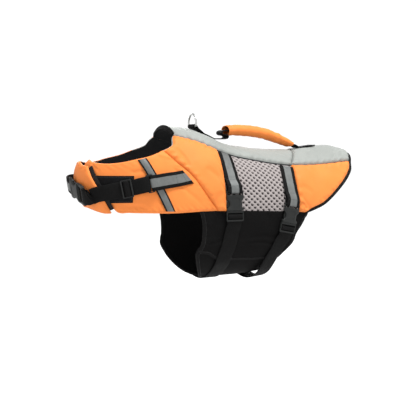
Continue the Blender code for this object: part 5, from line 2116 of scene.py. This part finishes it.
@dataclass(frozen=True)
class Girth:
    """One girth fastening: its sewn straps, its buckle and the webbing under the belly."""

    name: str
    strap: tuple[NamedTuple, ...]
    sewn_end: Side
    buckle: Side
    along: Side
    belly: tuple[Lay, ...]
    web: float = 30.0
    rise: float = 3.6
    on_mesh: float = MESH_HIGH + LIE + WEB_THICK / 2
    doubled: tuple[float, ...] = (0.4, 0.3, 0.2, 0.2, 0.5, 1.6, 2.45)
    sewn: Point = (3.0, 6.0)        # where stitches cross a strap, from its sewn ends
    folded: Point = (22.0, 8.0)     # and from the bar that it turns round
    stitch_in: float = 2.2

    def left_strap(self, clasp: Clasp) -> Strap:
        """The strap from the back's edge to the socket, turned round its bar.

        Args:
            clasp: The buckle.

        Returns:
            The strap.
        """
        line = Seam(self.strap)
        skin = line.at(np.linspace(0, line.run[-1], len(self.doubled)))
        line, across = SKIN.band(skin, self.on_mesh + np.array(self.doubled))
        tail = SKIN.raised(skin[-1:], self.on_mesh + 0.2), across[-1:]
        path = joined((line, across), clasp.socket_turn(), tail)
        return Strap(*path, self.web, WEB_THICK, Stripe.GIRTH, pitch=1.2)

    def right_strap(self) -> Strap:
        """The strap on the far side, sewn down at the back and at the waist.

        Returns:
            The strap.
        """
        line = Seam((*self.strap, self.sewn_end), 1)
        skin = line.at(np.linspace(0, line.run[-1], 9))
        return Strap(*SKIN.band(skin, self.on_mesh + 0.3), self.web, WEB_THICK, Stripe.GIRTH)

    def webbing(self, clasp: Clasp) -> Strap:
        """The webbing that is threaded through the plug and runs under the belly.

        Args:
            clasp: The buckle.

        Returns:
            The webbing.
        """
        table = np.array(self.belly, float)
        steps = np.linspace(0, len(table) - 1, 2 * len(table) - 1)
        angle, x, under = smooth_table(np.arange(len(table)), table, steps).T
        belly = SKIN.band(SKIN.girth(x, angle), under + LIE + WEB_THICK / 2)
        return Strap(*joined(clasp.ladder_climb(), belly), self.web, WEB_THICK)

    def build(self) -> None:
        """Make the buckle, the straps and their stitches."""
        origin = SKIN.flank(*self.buckle)
        clasp = Clasp(Place(origin, self.rise, SKIN.flank(*self.along) - origin), self.web)
        clasp.build(f"girth_buckle_{self.name}")
        left, right, webbing = self.left_strap(clasp), self.right_strap(), self.webbing(clasp)
        left.make(f"strap_{self.name}_left", f"girth_strap_{self.name}_L")
        right.make(f"strap_{self.name}_right", f"girth_strap_{self.name}_R")
        webbing.make(f"webbing_{self.name}", f"belly_webbing_{self.name}")
        bar = clasp.place.points((0, clasp.top_end, clasp.sewn_high))
        to_bar = left.run[np.argmin(np.linalg.norm(left.line - bar, axis=1))]
        half, long = self.web / 2 - self.stitch_in, right.run[-1]
        stitched = [(left, (*self.sewn, *[to_bar - back for back in self.folded])),
                    (right, (*self.sewn, *[long - back for back in reversed(self.sewn)]))]
        rows = [strap.row((-half, at), (half, at)) for strap, places in stitched for at in places]
        Stitching(BLACK_THREAD).piece(f"strap_stitches_{self.name}", rows)


ON_BELLY, ON_FLAP = 3.0 + LIE, 6.0 + 3 * LIE
GIRTHS = (
    Girth("front",
          (Top(-95.5, -62.8), Side(-96.1, -20), Side(-96.3, -36), Side(-96.4, -50)), Side(-96.4, -105.5),
          Side(-95.6, -98.9), Side(-96.4, -150),
          (Lay(70, -98.4, ON_BELLY + 0.6), Lay(62, -101, ON_BELLY + 2), Lay(55, -104, ON_FLAP + 0.1),
           Lay(47, -107, ON_FLAP), Lay(39, -107, ON_FLAP - 0.4), Lay(31, -107, ON_BELLY + 0.6),
           Lay(18, -107, ON_BELLY), Lay(6, -107, ON_BELLY), Lay(-6, -107, ON_BELLY),
           Lay(-18, -107, ON_BELLY), Lay(-31, -107, ON_BELLY), Lay(-44, -106.5, ON_BELLY),
           Lay(-58, -104, ON_BELLY), Lay(-74, -100, ON_BELLY), Lay(-87.5, -96.6, ON_BELLY))),
    Girth("rear",
          (Top(39.5, -71), Side(35.6, -48), Side(33.3, -66), Side(32.6, -76)), Side(31.7, -110.5),
          Side(24.6, -126.6), Side(17.4, -160),
          (Lay(59, 9, ON_BELLY + 3.4), Lay(52, 3.5, ON_FLAP + 0.6), Lay(44, -3, ON_FLAP + 1.5),
           Lay(36, -7, ON_FLAP + 4), Lay(28, -9, ON_FLAP + 6), Lay(18, -10, ON_FLAP + 5.5),
           Lay(6, -9, ON_FLAP + 3), Lay(-6, -8, ON_FLAP + 0.5), Lay(-18, -7, ON_BELLY + 2),
           Lay(-31, -5, ON_BELLY + 0.6), Lay(-44, 0, ON_BELLY), Lay(-58, 7.5, ON_BELLY),
           Lay(-74, 19.5, ON_BELLY), Lay(-86, 30, ON_BELLY))),
)


# -------- chest fastening

@dataclass
class ChestFastening:
    """What closes the chest: the hook and loop, the tapes, two straps, webbing, slider, ring and buckle."""

    jacket: Jacket
    web: float = 28.0
    tape: float = 16.0
    tape_thick: float = 1.0
    tape_slants: Point = (-2.4, -4.5)
    tape_line: tuple[Side, ...] = rows_of(Side, (-268.5, -12), (-252.5, -42), (-239, -68), (-221, -104))
    patch_top: tuple[NamedTuple, ...] = (Side(-284, -41), Side(-300, -41), Breast(-58, -41), Breast(-41, -41))
    patch_low: tuple[NamedTuple, ...] = (Side(-285.5, -86), Side(-300, -86), Breast(-58, -86), Breast(-41, -85))
    hook_out: float = 7.0
    hook_in: float = 30.0
    strap_left: tuple[Side, ...] = rows_of(
        Side, (-185, -45), (-205, -48), (-228, -50.5), (-235, -51.5), (-247, -53))
    left_under: tuple[float, ...] = (5.6, 5.7, 7.7, 10.2, 10.3)
    left_tail: Point = (8.4, 8.8)
    strap_right: tuple[Side, ...] = rows_of(
        Side, (-185, -45), (-205, -48), (-232, -51), (-256, -53.5), (-272, -54.5), (-292, -55), (-314, -55))
    right_under: tuple[float, ...] = (5.6, 5.8, 7.9, 8.0, 6.1, 5.8, 6.8)
    ring_at: Side = Side(-258.5, -54.5)
    ring_rise: float = 9.6
    slant: float = 7.5
    ring_size: tuple[float, float, float, float] = (12.0, 3.0, 2.6, 1.7)
    slider_at: Side = Side(-294.5, -62)
    slider_rise: float = 9.3
    slider_size: tuple[float, float, float, float, float] = (19.5, 2.3, 3.2, 2.2, 1.7)
    corner: tuple[NamedTuple, ...] = (Side(-310, -64.5), Side(-318, -66.5), Breast(-50, -69))
    corner_outer: tuple[float, ...] = (11.0, 14.4, 18.5)
    corner_inner: tuple[float, ...] = (15.8, 11.8, 8.4)
    buckle_at: Breast = Breast(-11, -64)
    buckle_to: Breast = Breast(-40, -71.5)
    buckle_rail: float = 5.0
    play: float = 0.35
    patch_stitch: float = 2.4
    tape_stitch: float = 7.2
    stitch_in: float = 2.2
    below: float = -LIE - WEB_THICK / 2

    def over(self, thick: float) -> float:
        """Height of the middle of webbing that passes over a flat frame."""
        return thick + LIE + WEB_THICK / 2

    def turn(self, edge: float, thick: float, way: int) -> list[Point]:
        """Webbing in b and c that comes over a bar, round its edge at b = `edge`, and back under it.

        Args:
            edge: The bar's far edge.
            thick: How thick the bar is.
            way: 1 where b rises toward that edge, -1 where it falls.

        Returns:
            Rows of b and c.
        """
        top = self.over(thick)
        return [(edge - 5 * way, top), (edge + 0.3 * way, top), (edge + 1.3 * way, top - 1.1),
                (edge + 1.6 * way, thick / 2), (edge + 1.3 * way, self.below + 1.1),
                (edge + 0.3 * way, self.below), (edge - 5 * way, self.below)]

    @staticmethod
    def shortened(line: Array, share: float) -> Array:
        """A line without that share of it at its start."""
        first = int(round(share * 20 * len(line)))
        return resampled(resampled(line, 20 * len(line))[first:], len(line))

    def patches(self) -> list[Row]:
        """Make the loop patch and the hook strip, and give the rows of stitches round them.

        Returns:
            The rows.
        """
        columns, rows = fine(62), fine(46)
        top, low = Seam(self.patch_top).even(columns), Seam(self.patch_low).even(columns)
        ways = np.linspace(0, 1, rows)[:, None]
        grid = SKIN.settle(patch(low, top, low[:1] + (top[:1] - low[:1]) * ways,
                                 low[-1:] + (top[-1:] - low[-1:]) * ways))
        loops = Panel(grid, PATCH_THICK, 0.7, 1.6, CHEST_FOAM + LIE, pucker=0.06, billow=0.15, seed=51, seam=0)
        loops.make("loops", "loop_patch", LOOPS, LOOPS)

        end = Seam(self.jacket.right_end).even(fine(92))[2:-1]
        ways = np.linspace(-self.hook_out, self.hook_in, 17)
        strip = np.stack([self.shortened(SKIN.beside(end, way), 0.1 * max(way / self.hook_in, 0))
                          for way in ways])
        hooks = Panel(strip, HOOK_THICK, 1.0, 1.6, CHEST_FOAM + PATCH_THICK + 2.6 * LIE, pucker=0.05, seed=52,
                      seam=0)
        hooks.make("hooks", "hook_strip", HOOKS, HOOKS)
        inset = self.patch_stitch
        return [loops.inset(edge, inset, inset) for edge in ("low", "high", "start", "end")]

    def tapes(self) -> list[Row]:
        """Make the reflective tapes, and give the rows of stitches along them.

        Returns:
            The rows.
        """
        skin = Seam(self.tape_line).even(9)
        rise = np.full(len(skin), CHEST_FOAM + 2.4 * LIE)
        rise[[0, -1]] = 3.0 + 5 * LIE
        rows = []
        for (mark, flip), way in zip(BOTH_SIDES, (1, -1)):
            line, slants = flip(skin), way * np.array(self.tape_slants)
            tape = Strap(*SKIN.band(line, rise + self.tape_thick / 2), self.tape, self.tape_thick,
                         Stripe.TAPE, *slants, 2.0, 0.15)
            tape.make(f"tape_{mark}", f"chest_tape_{mark}")
            for side in (-1, 1):
                first, last = 0.9 * side * slants
                across = side * self.tape_stitch
                rows.append(tape.row((across, 1.0 + max(first, 0.0)),
                                     (across, tape.run[-1] - 1.0 + min(last, 0.0))))
        return rows

    def frames(self) -> tuple[Place, Place]:
        """Make the ring and the slider, and give the places where they stand.

        Returns:
            Both places.
        """
        spot, ahead = SKIN.points((self.ring_at, self.slider_at))
        way, half = ahead - spot, self.web / 2 + self.play
        ring = Place(spot, self.ring_rise, way)
        long, bar, thick, rail = self.ring_size
        end = long / 2
        form = Form().add_plate(ring, (0, thick), rounded(half + rail, -end, end, 2.0),
                                rounded(half, bar - end, end - bar, 0.8))
        bevelled(form.build("ring_frame", [PLASTIC], stands_for="chest_ring"), 0.85, 4)

        slider = Place(ahead, self.slider_rise, way)
        long, bar, middle, thick, rail = self.slider_size
        end, middle = long / 2, middle / 2
        form = Form().add_plate(slider, (0, thick), rounded(half + rail, -end, end, 2.0),
                                rounded(half, bar - end, -middle, 0.7), rounded(half, middle, end - bar, 0.7))
        bevelled(form.build("slider_frame", [PLASTIC], stands_for="chest_slider"), 0.7, 4)
        return ring, slider

    def left_strap(self, ring: Place) -> Strap:
        """Make the left strap, which turns round the ring's rear bar.

        Args:
            ring: Where the ring stands.

        Returns:
            The strap.
        """
        long, bar, thick, _ = self.ring_size
        skin = SKIN.points(self.strap_left)
        tail = SKIN.raised(skin[-1:-3:-1], self.left_tail), np.tile(ring.a, (2, 1))
        path = joined(SKIN.band(skin, np.array(self.left_under) + WEB_THICK / 2),
                      ring.band(self.turn(bar - long / 2, thick, 1)), tail)
        strap = Strap(*path, self.web, WEB_THICK, Stripe.CHEST, slant=self.slant, pitch=1.2)
        strap.make("chest_strap_left", "chest_strap_L")
        return strap

    def webbing(self, ring: Place, slider: Place, clasp: Clasp) -> None:
        """Make the webbing from the ring through the slider to the buckle, and back under itself.

        Args:
            ring: Where the ring stands.
            slider: Where the slider stands.
            clasp: The buckle.
        """
        long, bar, thick, _ = self.ring_size
        under = ring.band(self.turn(long / 2 - bar, thick, -1)[::-1])
        long, bar, middle, thick, _ = self.slider_size
        end, middle, slope = long / 2, middle / 2, long / 2 - bar - 0.5
        over = self.over(thick)
        through = slider.band([
            (-end - 1.5, self.below - 0.2), (-slope, self.below - 0.1), (-middle - 0.6, over),
            (middle + 0.6, over), (slope, self.below - 0.1), (end + 1.5, self.below)])
        corner = SKIN.points(self.corner)
        outer = SKIN.raised(corner, self.corner_outer)
        inner = SKIN.raised(corner[::-1], self.corner_inner)
        end, (low, high) = clasp.mouth + clasp.ladder, clasp.plug
        turn = [(b, low + c) for b, c in self.turn(end - clasp.bar, high - low, -1)]
        back = clasp.place.band([(end + 8, 4.0), *turn, (end + 8, -1.5)])
        path = joined(under, through, (outer, SKIN.across(outer)), back,
                      (inner, SKIN.across(inner[::-1])[::-1]))
        Strap(*path, self.web, WEB_THICK, pitch=1.2).make("chest_web", "chest_webbing")

    def right_strap(self, clasp: Clasp) -> Strap:
        """Make the right strap, which turns round the socket's bar.

        Args:
            clasp: The buckle.

        Returns:
            The strap.
        """
        skin = SKIN.points(self.strap_right, 1)
        path = joined(SKIN.band(skin, np.array(self.right_under) + WEB_THICK / 2), clasp.socket_turn())
        strap = Strap(*path, self.web, WEB_THICK, Stripe.CHEST, slant=-self.slant, pitch=1.2)
        strap.make("chest_strap_right", "chest_strap_R")
        return strap

    def build(self) -> None:
        """Make everything."""
        rows = self.patches() + self.tapes()
        ring, slider = self.frames()
        spot = SKIN.breast(*self.buckle_at)
        place = Place(spot, RIGHT_BASE + CHEST_FOAM + 0.45, SKIN.breast(*self.buckle_to) - spot)
        clasp = Clasp(place, self.web, self.buckle_rail)
        clasp.build("chest_buckle")
        left = self.left_strap(ring)
        self.webbing(ring, slider, clasp)
        right = self.right_strap(clasp)
        half = self.web / 2 - self.stitch_in
        for strap, way in ((left, half), (right, -half)):
            rows += [strap.row((-way, 4.0), (way, 12.0)), strap.row((-way, 24.0), (way, 24.0))]
        Stitching(BLACK_THREAD).piece("chest_stitches", rows)


# -------- lead ring and handle

def on_back(x: float) -> Array:
    """Middle of webbing that lies along the middle of the back at x."""
    point = SKIN.crest(x, 0)
    return point + SKIN.outward(point) * (BACK_FOAM + 2 * LIE + WEB_THICK / 2)


@dataclass
class LeadRing:
    """The steel D-ring and the webbing tab that holds it."""

    pivot: tuple[float, float, float] = (-130.0, 0.0, 50.5)
    wire: float = 2.0
    half: float = 17.0
    high: float = 24.0
    corner: float = 4.0
    web: float = 27.0
    foot: float = -117.0
    spine_end: float = -98.0
    stem: tuple[float, float, float] = (3.5, 4.0, 12.0)     # how far above its foot the folded tab has its rows
    sewn: Point = (2.0, 17.0)
    sides: int = 20

    def rows(self) -> list[Point]:
        """The wire's middle line, across and up from the bar.

        Returns:
            Rows of across and up.
        """
        half, corner, low, share = self.half, self.corner, self.corner + 1, math.degrees(0.08)
        return [*[(a, 0.0) for a in np.linspace(corner - half, half - corner, 12)],
                *arc(half - corner, corner, corner, corner, -90, 0, 8)[1:],
                *arc(0, low, half, self.high - low, share, 180 - share, 48),
                *arc(corner - half, corner, corner, corner, 180, 270, 8)[:-1]]

    def build(self) -> None:
        """Make the ring and its tab."""
        bar = np.array(self.pivot)
        line = bar + [(0, y, z) for y, z in self.rows()]
        normal = np.broadcast_to([1.0, 0, 0], line.shape)
        side = np.cross(unit(np.roll(line, -1, axis=0) - np.roll(line, 1, axis=0)), normal)
        form = Form().add_rings(tube(line, side, normal, section(self.sides) * self.wire), looped=True)
        form.build("d_ring", [STEEL], body=RING_BODY, stands_for="lead_ring")

        foot = on_back(self.foot)
        way = unit(bar - foot)
        back = np.array([-way[2], 0, way[0]])
        back = back if back[0] > 0 else -back
        spread = self.wire + LIE + WEB_THICK / 2
        turn = [bar + back * a + way * b for a, b in arc(0, 0, spread, spread, -15, 195, 9)]
        gap = (WEB_THICK + LIE) / 2
        path = [on_back(x) for x in np.linspace(self.spine_end, self.foot + 3, 4)]
        low, start, top = self.stem
        path += [foot + way * start + back * gap, foot + way * top + back * gap, *turn,
                 foot + way * top - back * gap, foot + way * low - back * gap]
        tab = Strap(np.array(path), (0, -1, 0), self.web, WEB_THICK, pitch=0.9)
        tab.make("tab", "ring_tab")
        Stitching(BLACK_THREAD).piece("tab_stitches", tab.crossed_box(*self.sewn))


class Grip(NamedTuple):
    """One section of the padded sleeve: its middle, half height and half width."""

    x: float
    z: float
    high: float
    half: float


@dataclass
class Handle:
    """The lift handle: webbing sewn down at both ends, inside a padded sleeve."""

    grips: tuple[Grip, ...] = rows_of(
        Grip, (-57, 43, 10.5, 18), (-35, 44, 11, 18), (-10, 43, 11.3, 18), (15, 40.5, 11.3, 18),
        (40, 35.5, 11, 18), (62, 28.5, 10, 18), (80, 21.5, 8.2, 18), (94, 16.5, 6, 18))
    wall: float = 2.5
    web: float = 27.0
    start: Point = (-97.0, -92.0)
    rear: tuple[float, float, float] = (104.0, 0.0, 13.5)
    rear_foot: Point = (113.0, 152.0)
    fold: tuple[Top, ...] = rows_of(
        Top, (-80, 26.6), (-72, 26.6), (-61, 27), (-57.4, 28.6), (-56.4, 31), (-58.5, 33.2), (-63, 34),
        (-68, 35), (-70.6, 37.6), (-69.2, 41), (-64, 42.8))
    sewn: Point = (33.0, 3.0)       # the box of stitches, from the webbing's rear end
    rings: int = 74
    sides: int = 52

    def middle(self, count: int) -> tuple[Array, Array, Array]:
        """The sleeve's middle line, half heights and half widths.

        Args:
            count: How many places along it.

        Returns:
            The points, and both halves at each.
        """
        table = np.array(self.grips, float)
        x = np.linspace(table[0, 0], table[-1, 0], count)
        z, high, half = smooth_table(table[:, 0], table[:, 1:], x).T
        return np.stack([x, np.zeros(count), z], axis=1), high, half

    def sleeve(self) -> None:
        """Make the wrinkled sleeve, open at its front end."""
        middle, high, half = self.middle(self.rings)
        side = np.broadcast_to([0.0, 1.0, 0.0], middle.shape)
        up = unit(np.cross(unit(np.gradient(middle, axis=0)), -side))
        up *= np.sign(up[:, 2:])
        run = runs(middle)
        layers = []
        for inset, lip in ((0.0, -0.5), (self.wall, 0.5)):
            size = np.stack([half, high], axis=1)[:, None] - inset
            rings = tube(middle, side, up, section(self.sides, 0.9, 0.95) * size)
            away = unit(rings - middle[:, None])
            if not inset:
                bend = np.exp(-((middle[:, 0] - 66) / 34) ** 2) + np.exp(-((middle[:, 0] + 44) / 12) ** 2) * 0.5
                folds = wander(rings * (1.0, 0.35, 0.5), 17, 61, 12)
                rings = rings + away * ((folds - 0.3) * (0.35 + 0.75 * bend[:, None]))[..., None]
                turns = np.linspace(0, 2 * math.pi, self.sides, endpoint=False)[:, None]
                rings = rings - away * np.exp(-((turns - 1.5 * math.pi) / 0.1) ** 2) * 0.8
            layers.append(rings + away * np.clip(1 - run / 3.0, 0, 1)[:, None, None] * lip)
        form = Form().add_rings(np.concatenate([layers[0], layers[1][::-1]]), looped=True)
        made = form.build("grip", [ORANGE], stands_for="handle_sleeve")
        rows = []
        for k in (2, self.rings - 3):
            ring = layers[0][k]
            ring = np.concatenate([ring, ring[:1]])
            rows.append((ring, unit(ring - middle[k])))
        Stitching(ORANGE_THREAD, 3.0, 2.1, 0.3).piece("grip_stitches", rows)

    def build(self) -> None:
        """Make the sleeve and the webbing."""
        self.sleeve()
        front = [on_back(x) for x in self.start]
        fold = [(x, 0, z) for x, z in self.fold]
        rear = [self.rear, *[on_back(x) for x in np.linspace(*self.rear_foot, 4)]]
        path = np.concatenate([front, fold, self.middle(10)[0], rear])
        band = Strap(path, (0, -1, 0), self.web, WEB_THICK, pitch=1.2)
        band.make("handle_band", "handle_webbing")
        box = band.crossed_box(*[band.run[-1] - back for back in self.sewn])
        Stitching(BLACK_THREAD).piece("handle_stitches", box)


# -------- studio

@dataclass
class Studio:
    """Floor, air, lights and camera. Sizes are metres."""

    floor: float = -0.445
    flat: float = 3.4
    bend: float = 2.0
    eye: tuple[float, float, float] = (-0.7305, -1.2785, 0.014)
    turn: Point = (85.0, -26.4)
    lens: float = 62.2
    air: Rgb = (0.93, 0.95, 0.98)
    aim: tuple[float, float, float] = (-0.05, 0, -0.08)
    lamps: tuple[tuple[str, tuple[float, float, float], float, float], ...] = (
        ("key", (0.3, -0.9, 2.3), 0.8, 100), ("fill", (-1.9, -1.0, 0.9), 1.6, 6),
        ("top", (0.1, 0.3, 1.9), 1.5, 10), ("far", (0.5, 2.2, 0.7), 1.2, 30))

    def lamp(self, name: str, place: tuple[float, float, float], size: float, watts: float) -> None:
        """Add a soft square lamp that looks at the jacket.

        Args:
            name: Its name.
            place: Where it stands.
            size: How wide it is.
            watts: How strong it is.
        """
        light = bpy.data.lights.new(name, "AREA")
        light.size = size
        light.energy = watts
        made = bpy.data.objects.new(name, light)
        made.location = place
        made.rotation_euler = (Vector(self.aim) - Vector(place)).to_track_quat("-Z", "Y").to_euler()
        bpy.context.scene.collection.objects.link(made)

    def build(self) -> None:
        """Set the floor, the air, the lamps and the camera."""
        rows = [(r, 0.0) for r in np.linspace(0.0001, self.flat, 6)]
        rows += arc(self.flat, self.bend, self.bend, self.bend, -90, 0, 17)[1:]
        rows.append((rows[-1][0], rows[-1][1] + self.bend))
        around = arc(0, 0, 1, 1, 0, 360, 65)[:-1]
        rings = [[(r * x, r * y, self.floor + z) for x, y in around] for r, z in rows]
        form = Form().add_rings(np.array(rings)[::-1] / MM, capped=False)
        form.build("sweep", [BACKDROP], body="")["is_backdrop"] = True

        world = bpy.data.worlds.new("air")
        world.use_nodes = True
        back = world.node_tree.nodes["Background"]
        back.inputs["Color"].default_value = rgba(self.air)
        back.inputs["Strength"].default_value = 0.1
        bpy.context.scene.world = world

        for lamp in self.lamps:
            self.lamp(*lamp)

        camera = bpy.data.cameras.new("camera")
        camera.lens = self.lens
        camera.sensor_width = 36.0
        made = bpy.data.objects.new("camera", camera)
        made.location = self.eye
        made.rotation_euler = (math.radians(self.turn[0]), 0, math.radians(self.turn[1]))
        bpy.context.scene.collection.objects.link(made)
        bpy.context.scene.camera = made
        bpy.context.scene.view_settings.view_transform = "Standard"


# -------- run

def record_size(key: str, sizes: dict[str, Any]) -> None:
    """Keep the bounds of what there is now under a key."""
    sizes[key] = [[round(float(value), 5) for value in corner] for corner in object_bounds()]


def main() -> None:
    """Dress the frame."""
    logging.basicConfig(level=logging.INFO, format="%(name)s: %(message)s")
    sizes: dict[str, Any] = {}
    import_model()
    record_size("frame", sizes)
    cut = CutLines()
    jacket = Jacket(cut)
    for part in (jacket, Flanks(cut), Edging(cut), Belly(cut), *GIRTHS, ChestFastening(jacket), LeadRing(),
                 Handle(), Studio()):
        part.build()
    record_size("dressed", sizes)


if __name__ == "__main__":
    main()
